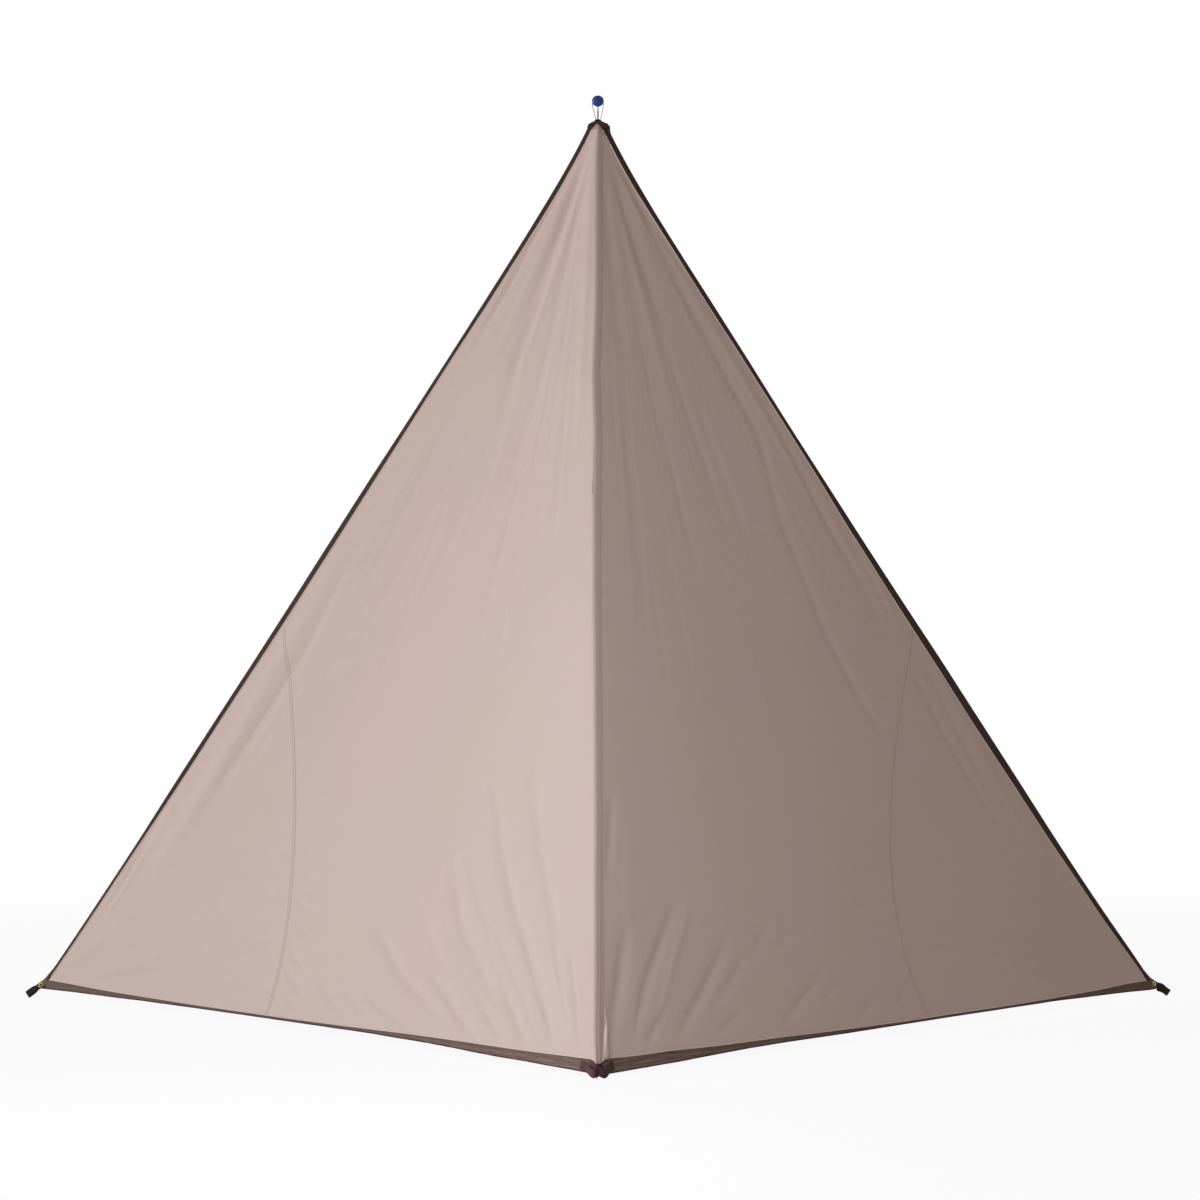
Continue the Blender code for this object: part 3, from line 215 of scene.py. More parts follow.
# Folds: half width and height in millimetres, then points (x, z) in millimetres, seen from
# the front. A negative height is a valley.
folds = {
    -1: [
        # from the apex
        [15, -7, (-26, 2362), (-114, 2058), (-206, 1790), (-266, 1570)],
        [11, -5, (-18, 2356), (-74, 2194), (-188, 1908), (-260, 1754)],
        [9, -5, (-32, 2352), (-150, 2140), (-250, 1960), (-344, 1796)],
        [12, -3.5, (-12, 2354), (-56, 2148), (-100, 1946), (-130, 1784)],
        [14, 2.5, (-8, 2354), (-26, 2104), (-38, 1830), (-50, 1564)],
        [10, 3, (-10, 2340), (-84, 2096), (-158, 1868), (-228, 1682)],
        [7, -3, (-182, 2066), (-250, 1954), (-310, 1854)],
        [12, -2.5, (-104, 1892), (-152, 1704), (-198, 1546), (-242, 1388)],
        [9, -2.2, (-344, 1718), (-424, 1558), (-532, 1342), (-664, 1094)],
        [8, -1.8, (-296, 1660), (-380, 1486), (-502, 1260), (-678, 944)],
        [9, -1.6, (-258, 1602), (-338, 1390), (-458, 1154), (-578, 928)],
        [10, -1.3, (-164, 1598), (-216, 1388), (-280, 1152), (-330, 972)],
        [10, 2.6, (-426, 1612), (-536, 1424), (-646, 1236), (-762, 1040)],
        # beside the side edge
        [24, 7, (-644, 1346), (-754, 1148), (-924, 866), (-1112, 552), (-1274, 306)],
        [9, -3.5, (-688, 1208), (-798, 990), (-954, 744), (-1068, 576)],
        [6, -1.8, (-728, 1100), (-834, 908), (-968, 702), (-1054, 576)],
        [6, -1.6, (-776, 950), (-866, 800), (-994, 620)],
        [8, -2.2, (-964, 928), (-1094, 724), (-1224, 526), (-1312, 392)],
        [6, -2.6, (-1224, 512), (-1326, 342), (-1428, 184)],
        [6, 2.2, (-1186, 536), (-1294, 366), (-1404, 200)],
        # from the front corner
        [18, -3.4, (-162, 728), (-140, 512), (-118, 414), (-88, 270), (-76, 168)],
        [15, -4.4, (-262, 674), (-234, 480), (-208, 374), (-164, 262), (-118, 138), (-84, 54)],
        [16, -4.2, (-368, 494), (-344, 322), (-278, 196), (-226, 122)],
        [9, -1.8, (-320, 462), (-294, 368), (-256, 288)],
        [16, -5.5, (-568, 294), (-504, 186), (-418, 116), (-360, 74)],
        [13, -6.5, (-426, 204), (-354, 110), (-288, 40)],
        [12, -5, (-586, 118), (-506, 72), (-432, 42)],
        [9, -4, (-306, 164), (-264, 100), (-224, 44)],
        [12, -5, (-240, 196), (-204, 118), (-170, 42)],
        [8, -2.6, (-144, 194), (-124, 128), (-106, 54)],
        [10, 2.2, (-92, 326), (-72, 190), (-56, 52)],
        [5, -1.8, (-66, 300), (-54, 190), (-42, 66)],
        [5, 1.6, (-128, 330), (-100, 206), (-70, 74)],
        [5, -1.8, (-190, 320), (-146, 176), (-104, 60)],
        [5, -1.6, (-262, 330), (-200, 200), (-146, 80)],
        [12, -2, (-452, 354), (-416, 260), (-378, 192)],
        [8, -2.6, (-664, 136), (-606, 86), (-562, 58)],
        [9, -2.8, (-734, 154), (-682, 92), (-632, 54)],
        # from the side corner
        [20, -3.2, (-1514, 68), (-1312, 148), (-1082, 278), (-978, 350)],
        [14, 2.6, (-1486, 64), (-1292, 116), (-1124, 188), (-1004, 252)],
        [11, -2.4, (-1452, 56), (-1258, 94), (-1074, 150)],
        [14, 2.2, (-1522, 86), (-1394, 174), (-1240, 296)],
        # beside the curved seam
        [7, -1.6, (-928, 242), (-826, 262)],
        [8, -2.2, (-968, 196), (-826, 216)],
        [7, -1.4, (-900, 168), (-830, 180)],
        [6, -2, (-798, 340), (-758, 308)],
        [6, -1.8, (-800, 268), (-750, 248)],
        [8, -3, (-808, 208), (-764, 158)],
        [8, -3.4, (-818, 152), (-758, 94)],
        [8, -2.4, (-828, 106), (-772, 48)],
        [7, -1.4, (-788, 412), (-736, 396)],
    ],
    1: [
        # from the apex
        [16, -7, (16, 2354), (38, 2288), (90, 2112), (144, 1950), (186, 1816)],
        [12, -6, (24, 2350), (86, 2238), (152, 2096), (220, 1972), (280, 1852)],
        [13, -3, (6, 2348), (22, 2186), (42, 1968), (62, 1752)],
        [8, 3, (22, 2350), (112, 2156), (186, 2032), (260, 1912)],
        [7, -3.5, (28, 2328), (188, 2072), (248, 1982)],
        [12, 3, (16, 2340), (64, 2136), (120, 1920), (168, 1732), (216, 1546)],
        [12, -4.5, (210, 1998), (306, 1806), (436, 1572), (490, 1350), (542, 1208)],
        [11, -4, (490, 1350), (558, 1180), (624, 1014), (708, 858), (796, 710)],
        [9, 3.2, (254, 1960), (356, 1780), (488, 1560), (590, 1372)],
        [9, -2, (152, 1876), (218, 1682), (290, 1470), (360, 1258)],
        [10, -1.8, (110, 1836), (162, 1598), (224, 1334), (278, 1128)],
        [8, -1.6, (244, 1710), (310, 1524), (382, 1338), (456, 1154)],
        [12, -1.6, (58, 1778), (78, 1514), (108, 1228), (132, 1026)],
        # beside the side edge
        [10, -3.2, (370, 1804), (522, 1534), (632, 1322), (720, 1182), (828, 964)],
        [8, -2, (548, 1480), (672, 1250), (764, 1058), (830, 942)],
        [7, -1.8, (634, 1400), (740, 1204), (816, 1050), (844, 984)],
        [8, 2.2, (690, 1318), (774, 1168), (842, 1018)],
        [9, -3.4, (860, 940), (952, 756), (1022, 640), (1118, 488)],
        [8, -2.4, (880, 990), (984, 782), (1040, 672), (1082, 588)],
        [10, 2.6, (902, 990), (1002, 810), (1120, 600), (1236, 408)],
        [8, -2, (1074, 724), (1144, 572), (1236, 408)],
        [7, -2.8, (1234, 472), (1336, 314), (1436, 194)],
        [6, 2, (1270, 442), (1368, 306), (1464, 194)],
        # from the front corner
        [15, -8, (74, 340), (64, 284), (52, 196), (28, 60)],
        [14, -7, (198, 392), (162, 302), (124, 212), (72, 54)],
        [8, -5, (170, 146), (138, 92), (114, 50)],
        [13, -6.5, (324, 280), (264, 172), (192, 62)],
        [14, -4, (376, 252), (328, 174), (280, 120)],
        [9, -4, (368, 114), (326, 82), (284, 50)],
        [12, -2.4, (446, 336), (408, 268), (374, 208)],
        [11, -5, (572, 174), (516, 116), (464, 58)],
        [10, -1.8, (494, 300), (454, 232)],
        [7, -4, (708, 90), (662, 46)],
        [8, -2, (606, 142), (570, 104)],
        [10, -4, (32, 662), (32, 566), (26, 438)],
        [9, 3, (228, 384), (182, 236), (138, 80)],
        [7, 2.4, (102, 198), (88, 120), (78, 58)],
        [14, 2, (80, 540), (74, 398), (88, 258)],
        # beside the curved seam
        [8, -1.8, (626, 488), (722, 468), (774, 466)],
        [7, -1.8, (644, 428), (766, 404)],
        [7, -1.8, (606, 392), (756, 358)],
        [7, -2.2, (656, 342), (776, 306)],
        [7, -2.2, (676, 290), (786, 256)],
        [7, -1.8, (702, 238), (792, 210)],
        [7, -1.6, (802, 284), (868, 258), (970, 222)],
        [6, -1.4, (798, 322), (884, 294)],
        [7, -1.6, (802, 238), (908, 198), (1042, 158)],
        [6, -1.4, (806, 182), (892, 154)],
        [6, -1.2, (786, 408), (852, 388)],
        [7, -3.2, (802, 114), (786, 78)],
        # from the side corner
        [15, -4.5, (1178, 210), (1322, 128), (1460, 72)],
        [12, -4, (1144, 156), (1272, 100), (1398, 54)],
        [9, -2, (1086, 140), (1208, 88), (1350, 52)],
        [11, 3, (1218, 224), (1358, 152), (1484, 76)],
        [12, -2, (898, 262), (1058, 176), (1178, 122)],
        [14, 1.8, (974, 306), (1124, 228), (1244, 164)],
        [12, -2, (1286, 278), (1392, 174), (1494, 84)],
    ],
}

drape = {
    "foldReach": 3.2,         # how far a fold is worked out, in half widths
    "foldEnds": 0.7,
    "creases": 40,            # fine creases that run down from the apex
    "creaseAcross": (0.06, 0.94),
    "creaseStart": (0.03, 0.42),
    "creaseLength": (0.15, 0.40),
    "creaseDrift": 0.012,
    "creaseHeight": 0.0008,
    "creaseHalf": (0.004, 0.009),
    "seeds": {-1: 7, 1: 11},
    "edgeFade": 0.016,        # folds die away towards the bindings
    "ridgeFade": 0.010,
    "hemFade": 0.014,
}


def fineCreases(side):
    chance = np.random.default_rng(drape["seeds"][side])
    lines = []
    for _ in range(drape["creases"]):
        u = chance.uniform(*drape["creaseAcross"])
        start = chance.uniform(*drape["creaseStart"])
        stop = start + chance.uniform(*drape["creaseLength"])
        drift = chance.normal(0, drape["creaseDrift"])
        ends = panelPoint(side, np.array([u, u + drift]), np.array([start, stop]))
        rise = chance.choice([-1, 1]) * chance.uniform(0.4, 1.0) * drape["creaseHeight"]
        half = chance.uniform(*drape["creaseHalf"])
        lines.append([half * 1000, rise * 1000, *[(p[0] * 1000, p[2] * 1000) for p in ends]])
    return lines


for side in (-1, 1):
    folds[side] += fineCreases(side)


def foldHeight(side, points):
    place = points[:, [0, 2]] * 1000
    height = np.zeros(len(points))
    for half, rise, *knots in folds[side]:
        line = np.array(knots, float)
        low = line.min(0) - half * drape["foldReach"]
        high = line.max(0) + half * drape["foldReach"]
        near = np.nonzero(((place > low) & (place < high)).all(1))[0]
        if not len(near):
            continue
        here = place[near]
        steps = np.linalg.norm(np.diff(line, axis=0), axis=1)
        nearest = np.full(len(near), 1e6)
        share = np.zeros(len(near))
        done = 0.0
        for a, b, step in zip(line, line[1:], steps):
            t = np.clip(((here - a) @ (b - a)) / step ** 2, 0, 1)
            away = np.linalg.norm(here - a - t[:, None] * (b - a), axis=1)
            closer = away < nearest
            nearest = np.where(closer, away, nearest)
            share = np.where(closer, (done + t * step) / steps.sum(), share)
            done += step
        ends = np.sin(math.pi * np.clip(share, 0, 1)) ** drape["foldEnds"]
        height[near] += rise / 1000 * ends * np.exp(-(nearest / half) ** 2)
    return height


def acrossWay(side, v):
    return units(sideEdge(side, v) - ridgeLine(v))


def clothPoint(side, u, v, lift=0.0):
    base = panelPoint(side, u, v)
    width = widthAt(side, v)
    inward = (acrossWay(-1, v) + acrossWay(1, v)) / 2
    reach = np.maximum(u, 0) * width
    rounded = np.hypot(reach, pitch["crestRound"]) - reach
    atTop, atFoot, sideways = pitch["crestFade"]
    rounded *= smooth(v / atTop) * smooth((1 - v) / atFoot) * np.exp(-reach / sideways)
    base = base + inward * rounded[:, None]
    fade = smooth((1 - u) * width / drape["edgeFade"]) * smooth(u * width / drape["ridgeFade"])
    fade *= smooth((1 - v) * edgeLength / drape["hemFade"])
    out = foldHeight(side, base) * fade + lift
    return base + panelNormal(side) * out[:, None]


# making pieces

def gridPiece(name, across, along, place):
    bpy.ops.object.select_all(action="DESELECT")
    bpy.ops.mesh.primitive_grid_add(x_subdivisions=across, y_subdivisions=along, size=1)
    piece = bpy.context.active_object
    piece.name = name
    piece.data.name = name
    mesh = piece.data
    spots = np.zeros(len(mesh.vertices) * 3)
    mesh.vertices.foreach_get("co", spots)
    spots = spots.reshape(-1, 3) + 0.5
    points, pattern = place(spots[:, 0], spots[:, 1])
    mesh.vertices.foreach_set("co", points.ravel())
    corner = np.zeros(len(mesh.loops), int)
    mesh.loops.foreach_get("vertex_index", corner)
    mesh.uv_layers.active.data.foreach_set("uv", pattern[corner].ravel())
    mesh.update()
    return piece


def pick(piece):
    bpy.ops.object.select_all(action="DESELECT")
    bpy.context.view_layer.objects.active = piece
    piece.select_set(True)


def applyAll(piece):
    pick(piece)
    for modifier in list(piece.modifiers):
        bpy.ops.object.modifier_apply(modifier=modifier.name)


def facesOutward(piece, outward):
    faces = piece.data.polygons
    normals = np.zeros(len(faces) * 3)
    faces.foreach_get("normal", normals)
    if normals.reshape(-1, 3).mean(0) @ outward < 0:
        piece.data.flip_normals()


def thicken(piece, thickness, bevel=0.0):
    wall = piece.modifiers.new("wall", "SOLIDIFY")
    wall.thickness = thickness
    wall.offset = 0
    wall.material_offset = len(piece.data.materials) - 1      # a second paint is for the inside
    if bevel:
        edge = piece.modifiers.new("edge", "BEVEL")
        edge.width = bevel
        edge.segments = 2
        edge.limit_method = "ANGLE"
        edge.angle_limit = math.radians(50)
    applyAll(piece)
    bpy.ops.object.shade_smooth_by_angle(angle=math.radians(50))


def dress(piece, *paints):
    piece.data.materials.clear()
    for paint in paints:
        piece.data.materials.append(paint)


def fasten(piece, nodes=(), body=canopyBody):
    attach(piece, body)
    if body == canopyBody:
        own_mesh(piece)
    if nodes:
        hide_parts(*nodes)


def boreThrough(piece, place, radius, depth=0.012, facets=32):
    bpy.ops.object.select_all(action="DESELECT")
    bpy.ops.mesh.primitive_cylinder_add(vertices=facets, radius=radius, depth=depth)
    cutter = bpy.context.active_object
    cutter.data.transform(place)
    hole = piece.modifiers.new("hole", "BOOLEAN")
    hole.operation = "DIFFERENCE"
    hole.object = cutter
    applyAll(piece)
    bpy.data.objects.remove(cutter)


def clothPiece(name, look, place, outward, paints, nodes=(), body=canopyBody, bore=None):
    piece = gridPiece(name, *look["cells"], place)
    if outward is not None:
        facesOutward(piece, outward)
    dress(piece, *paints)
    thicken(piece, look["thickness"], look.get("bevel", 0.0))
    if bore:
        boreThrough(piece, *bore)
    fasten(piece, nodes, body)
    return piece


def turnedPiece(name, profile, steps, place=None):
    mesh = bpy.data.meshes.new(name)
    pairs = [(k, (k + 1) % len(profile)) for k in range(len(profile))]
    mesh.from_pydata([(r, 0, z) for r, z in profile], pairs, [])
    piece = bpy.data.objects.new(name, mesh)
    bpy.context.scene.collection.objects.link(piece)
    pick(piece)
    bpy.ops.object.mode_set(mode="EDIT")
    bpy.ops.mesh.select_all(action="SELECT")
    bpy.ops.mesh.spin(steps=steps, angle=2 * math.pi, center=(0, 0, 0), axis=(0, 0, 1))
    bpy.ops.mesh.select_all(action="SELECT")
    bpy.ops.mesh.remove_doubles(threshold=0.00002)
    bpy.ops.mesh.normals_make_consistent(inside=False)
    bpy.ops.object.mode_set(mode="OBJECT")
    if place is not None:
        piece.data.transform(place)
    bpy.ops.object.shade_smooth_by_angle(angle=math.radians(40))
    return piece


def frameOf(origin, xAxis, yAxis, zAxis):
    turn = Matrix((Vector(xAxis), Vector(yAxis), Vector(zAxis))).transposed().to_4x4()
    return Matrix.Translation(Vector(origin)) @ turn


# shader building

class Wire:
    def __init__(self, paint, socket):
        self.paint = paint
        self.socket = socket

    def __add__(self, other):
        return self.paint.math("ADD", self, other)

    def __radd__(self, other):
        return self.paint.math("ADD", other, self)

    def __sub__(self, other):
        return self.paint.math("SUBTRACT", self, other)

    def __rsub__(self, other):
        return self.paint.math("SUBTRACT", other, self)

    def __mul__(self, other):
        return self.paint.math("MULTIPLY", self, other)

    def __rmul__(self, other):
        return self.paint.math("MULTIPLY", other, self)


class Paint:
    def __init__(self, name, fixed):
        self.material = bpy.data.materials.new(name)
        self.material.use_nodes = True
        self.tree = self.material.node_tree
        self.shader = self.tree.nodes["Principled BSDF"]
        for socket, value in fixed.items():
            self.shader.inputs[socket].default_value = value

    def node(self, kind, settings=None, sockets=None, output=0):
        made = self.tree.nodes.new("ShaderNode" + kind)
        for key, value in (settings or {}).items():
            if key == "stops":
                for element, (spot, tone) in zip(made.color_ramp.elements, value):
                    element.position = spot
                    element.color = (tone, tone, tone, 1)
            else:
                setattr(made, key, value)
        for key, value in (sockets or {}).items():
            if isinstance(value, Wire):
                self.tree.links.new(value.socket, made.inputs[key])
            else:
                made.inputs[key].default_value = value
        return Wire(self, made.outputs[output])

    def math(self, operation, first, second):
        return self.node("Math", {"operation": operation}, {0: first, 1: second})

    def tint(self, factor, first, second):
        first, second = [c if isinstance(c, Wire) else (*c, 1) for c in (first, second)]
        return self.node("Mix", {"data_type": "RGBA"}, {0: factor, 6: first, 7: second}, 2)

    def shade(self, colour, value):
        return self.node("VectorMath", {"operation": "SCALE"}, {0: colour, "Scale": value})

    def ramp(self, value, low, high):
        stops = [(low, 0.0), (high, 1.0)]
        return self.node("ValToRGB", {"stops": stops}, {"Fac": value})

    def place(self):
        return self.node("TexCoord", output="Object")

    def part(self, where, axis):
        return self.node("SeparateXYZ", None, {"Vector": where}, axis)

    def pattern(self, x=1.0, y=1.0):
        flat = self.node("TexCoord", output="UV")
        return self.node("Mapping", None, {"Vector": flat, "Scale": (x, y, 1)})

    def noise(self, where, scale, detail=2.0, rough=0.5):
        sockets = {"Vector": where, "Scale": scale, "Detail": detail, "Roughness": rough}
        return self.node("TexNoise", None, sockets)

    def bands(self, where, spacing, way):
        scale = 2 * math.pi / spacing / 20
        return self.node("TexWave", {"bands_direction": way}, {"Vector": where, "Scale": scale})

    def feed(self, socket, wire):
        self.tree.links.new(wire.socket, self.shader.inputs[socket])

    def bump(self, height, distance, strength=1.0, under=None):
        sockets = {"Height": height, "Distance": distance, "Strength": strength}
        if under is not None:
            sockets["Normal"] = under
        return self.node("Bump", None, sockets)


def clothPaint(name, look):
    paint = Paint(name, {
        "Sheen Weight": look["sheen"],
        "Sheen Roughness": 0.45,
        "Specular IOR Level": look["gloss"],
    })
    where = paint.place()
    flat = paint.pattern()
    cloud = paint.noise(where, look["cloudScale"], 3.0)
    tone = paint.tint(paint.ramp(cloud, 0.35, 0.65), look["colour"], look["second"])
    slubs = paint.noise(paint.pattern(1400, 60), 1.0, 1.0)
    slubs = slubs + paint.noise(paint.pattern(60, 1400), 1.0, 1.0)
    tone = paint.shade(tone, 1 - look["slubs"] + slubs * look["slubs"])
    if "sheenStreaks" in look:                  # painted sheen: lighter streaks near the front corner
        sheenStreak = paint.ramp(paint.noise(paint.pattern(150, 9), 1.0, 3.0), 0.45, 0.75)
        near = 1 - paint.ramp(paint.part(flat, 1), 0.10, 0.85)
        tone = paint.tint(sheenStreak * near * 0.8, tone, look["sheenStreaks"])
    if "leftTone" in look:                 # the strip is beige on its left half, the lit side, and darker elsewhere as painted shade; low down it is pinker and darker still, painted shade of the fold at the foot
        offset = paint.part(flat, 0)
        height = paint.part(where, 2)
        tone = paint.tint(1 - paint.ramp(height, 0.12, 0.32), tone, look["footShadeTone"])
        rim = (offset - height * 0.14) * 30                             # painted highlight on a fold low down
        rim = paint.ramp(rim, 0.43, 0.50) * (1 - paint.ramp(rim, 0.60, 0.70))
        tone = paint.tint(rim, tone, look["paintedHighlightTone"])
        tone = paint.tint(1 - paint.ramp(offset * 200 + 0.5, 0.15, 0.65), tone, look["leftTone"])
    if "grime" in look:
        soil = paint.ramp(paint.noise(where, 11.0, 5.0, 0.65), 0.42, 0.80) * look["grime"]
        tone = paint.tint(soil, tone, look["soil"])
    paint.feed("Base Color", tone)
    paint.feed("Roughness", look["roughness"] - 0.04 + paint.noise(where, 35.0) * 0.08)
    warp = paint.bands(flat, look["thread"], "X")
    weft = paint.bands(flat, look["thread"], "Y")
    weave = paint.bump(warp * (1 - weft) + weft * (1 - warp), look["thread"] * 0.16, 0.5)
    crinkle = paint.noise(paint.pattern(26, 26), 1.0, 4.0, 0.6)
    paint.feed("Normal", paint.bump(crinkle, look["crinkle"], 1.0, weave))
    return paint.material


def webbingPaint(name, look):
    paint = Paint(name, {
        "Sheen Weight": look["sheen"],
        "Sheen Roughness": 0.4,
        "Specular IOR Level": look["gloss"],
    })
    where = paint.place()
    flat = paint.pattern()
    ribs = paint.bands(flat, look["rib"], "Y")
    cords = paint.bands(flat, look["rib"] * 0.55, "X")
    worn = paint.noise(where, 60.0, 4.0, 0.6)
    tone = paint.tint(ribs, look["colour"], look["second"])
    # the right side takes another tone; on the red ribbon it is darker, painted shade on the side
    # away from the lamps
    if "rightTone" in look:
        side = paint.ramp(paint.part(where, 0) * 25 + 0.5, 0.3, 0.7)
        tone = paint.tint(side, tone, look["rightTone"])
    tone = paint.shade(tone, 0.86 + worn * 0.28)
    paint.feed("Base Color", tone)
    paint.feed("Roughness", look["roughness"] - 0.05 + worn * 0.10)
    weave = ribs * 0.75 + cords * 0.25 * ribs
    paint.feed("Normal", paint.bump(weave, look["rib"] * 0.22, 0.8))
    return paint.material


def metalPaint(name, look):
    paint = Paint(name, {"Metallic": 1.0})
    where = paint.place()
    scratches = paint.noise(paint.node("Mapping", None, {
        "Vector": where, "Scale": look["grain"]}), 1.0, 3.0, 0.7)
    dull = paint.ramp(paint.noise(where, look["spots"], 4.0, 0.6), 0.45, 0.75)
    paint.feed("Base Color", paint.tint(dull * look["tarnish"], look["colour"], look["second"]))
    paint.feed("Roughness", look["roughness"] - 0.06 + scratches * 0.12 + dull * 0.10)
    paint.feed("Normal", paint.bump(scratches, look["depth"], 0.6))
    return paint.material


def plasticPaint(name, look):
    paint = Paint(name, {"Specular IOR Level": look["gloss"]})
    where = paint.place()
    grain = paint.noise(where, look["grain"], 2.0)
    scuffs = paint.ramp(paint.noise(where, 45.0, 5.0, 0.7), 0.50, 0.72)
    paint.feed("Base Color", paint.tint(scuffs * 0.35, look["colour"], look["second"]))
    paint.feed("Roughness", look["roughness"] + scuffs * 0.12 + grain * 0.05)
    paint.feed("Normal", paint.bump(grain, look["depth"], 0.6))
    return paint.material


def threadPaint(name, look):
    paint = Paint(name, {"Sheen Weight": 0.3, "Specular IOR Level": 0.35})
    where = paint.place()
    fuzz = paint.noise(where, 900.0, 2.0)
    tone = look["colour"]
    if "rightTone" in look:
        side = paint.ramp(paint.part(where, 0) * 60 + 0.5, 0.3, 0.7)
        flecks = paint.ramp(paint.noise(where, 420.0, 2.0), 0.40, 0.62)
        tone = paint.tint(side * 0.6 + flecks * 0.3, tone, look["rightTone"])
    paint.feed("Base Color", paint.shade(tone, 0.8 + fuzz * 0.4))
    paint.feed("Roughness", look["roughness"] - 0.05 + fuzz * 0.1)
    paint.feed("Normal", paint.bump(fuzz, 0.0001, 0.7))
    return paint.material


beige = clothPaint("beige polyester", {
    "colour": (0.490, 0.382, 0.345), "second": (0.506, 0.382, 0.352), "sheen": 0.05,
    "gloss": 0.20, "roughness": 0.62, "cloudScale": 1.6, "slubs": 0.05, "thread": 0.0007,
    "crinkle": 0.0006,
})
coated = clothPaint("beige coated inside", {
    "colour": (0.470, 0.380, 0.345), "second": (0.455, 0.372, 0.338), "sheen": 0.04,
    "gloss": 0.45, "roughness": 0.48, "cloudScale": 2.2, "slubs": 0.03, "thread": 0.0007,
    "crinkle": 0.0005,
})
# darker than the beige panels: painted shade for the light that the double layer keeps out
seamCloth = clothPaint("pink beige seam", {
    "colour": (0.430, 0.325, 0.298), "second": (0.450, 0.335, 0.308), "sheen": 0.05,
    "gloss": 0.15, "roughness": 0.66, "cloudScale": 9.0, "slubs": 0.08, "thread": 0.0007,
    "crinkle": 0.0008, "leftTone": (0.490, 0.380, 0.345), "footShadeTone": (0.410, 0.288, 0.272),
    "paintedHighlightTone": (0.640, 0.500, 0.460),
})
# lighter than the beige panels: painted highlight on the folds beside the bindings and above the
# hems
weltHighlightCloth = clothPaint("beige polyester, painted highlight", {
    "colour": (0.620, 0.490, 0.445), "second": (0.635, 0.500, 0.455), "sheen": 0.05,
    "gloss": 0.20, "roughness": 0.62, "cloudScale": 1.6, "slubs": 0.05, "thread": 0.0007,
    "crinkle": 0.0004,
})
hemCloth = clothPaint("brown hem cloth", {
    "colour": (0.126, 0.079, 0.063), "second": (0.142, 0.090, 0.071), "sheen": 0.02,
    "gloss": 0.05, "roughness": 0.66, "cloudScale": 6.0, "slubs": 0.10, "thread": 0.0008,
    "crinkle": 0.0012, "grime": 0.25, "soil": (0.120, 0.092, 0.076),
    # lighter streaks near the front corner: painted sheen
    "sheenStreaks": (0.290, 0.210, 0.188),
})
binding = webbingPaint("dark brown binding", {
    "colour": (0.034, 0.020, 0.014), "second": (0.078, 0.047, 0.036), "sheen": 0.03,
    "gloss": 0.05, "roughness": 0.78, "rib": 0.0016,
})
ribbon = webbingPaint("dark loop ribbon", {
    "colour": (0.022, 0.013, 0.012), "second": (0.045, 0.028, 0.026), "sheen": 0.03,
    "gloss": 0.06, "roughness": 0.8, "rib": 0.0015,
})
# darker on its right side: painted shade
redRibbon = webbingPaint("red brown ribbon", {
    "colour": (0.060, 0.028, 0.026), "second": (0.125, 0.060, 0.058), "sheen": 0.04,
    "gloss": 0.06, "roughness": 0.78, "rib": 0.0015, "rightTone": (0.050, 0.028, 0.027),
})
tapePaint = clothPaint("seam sealing tape", {
    "colour": (0.400, 0.320, 0.290), "second": (0.420, 0.335, 0.300), "sheen": 0.02,
    "gloss": 0.5, "roughness": 0.38, "cloudScale": 12.0, "slubs": 0.02, "thread": 0.0010,
    "crinkle": 0.0005,
})
brass = metalPaint("worn brass", {
    "colour": (0.430, 0.320, 0.150), "second": (0.270, 0.185, 0.085), "grain": (900, 900, 900),
    "spots": 160.0, "tarnish": 0.6, "roughness": 0.26, "depth": 0.00006,
})
aluminium = metalPaint("satin aluminium", {
    "colour": (0.640, 0.645, 0.655), "second": (0.500, 0.505, 0.515), "grain": (700, 700, 18),
    "spots": 22.0, "tarnish": 0.35, "roughness": 0.36, "depth": 0.00004,
})
steel = metalPaint("plated steel", {
    "colour": (0.580, 0.575, 0.570), "second": (0.400, 0.390, 0.380), "grain": (600, 600, 200),
    "spots": 120.0, "tarnish": 0.4, "roughness": 0.30, "depth": 0.00004,
})
bronze = metalPaint("bronzed spike", {
    "colour": (0.330, 0.250, 0.190), "second": (0.200, 0.150, 0.115), "grain": (600, 600, 200),
    "spots": 120.0, "tarnish": 0.5, "roughness": 0.38, "depth": 0.00004,
})
blackPlastic = plasticPaint("black moulded plastic", {
    "colour": (0.022, 0.022, 0.024), "second": (0.055, 0.055, 0.058), "gloss": 0.5,
    "roughness": 0.42, "grain": 1800.0, "depth": 0.00006,
})
greyPlastic = plasticPaint("grey lever plastic", {
    "colour": (0.105, 0.107, 0.112), "second": (0.170, 0.172, 0.178), "gloss": 0.5,
    "roughness": 0.40, "grain": 1600.0, "depth": 0.00006,
})
rubber = plasticPaint("black rubber", {
    "colour": (0.017, 0.017, 0.017), "second": (0.090, 0.082, 0.072), "gloss": 0.3,
    "roughness": 0.78, "grain": 700.0, "depth": 0.00010,
})
bluePlastic = plasticPaint("blue ball plastic", {
    "colour": (0.016, 0.040, 0.190), "second": (0.034, 0.072, 0.240), "gloss": 0.20,
    "roughness": 0.40, "grain": 900.0, "depth": 0.00005,
})
brownThread = threadPaint("brown sewing thread", {
    "colour": (0.075, 0.055, 0.045), "roughness": 0.6,
})
beigeThread = threadPaint("beige sewing thread", {
    "colour": (0.430, 0.330, 0.295), "roughness": 0.6,
})
cordPaint = threadPaint("elastic cord", {
    "colour": (0.100, 0.200, 0.170), "roughness": 0.55, "rightTone": (0.450, 0.550, 0.500),
})
print("materials ready")


# cloth panels

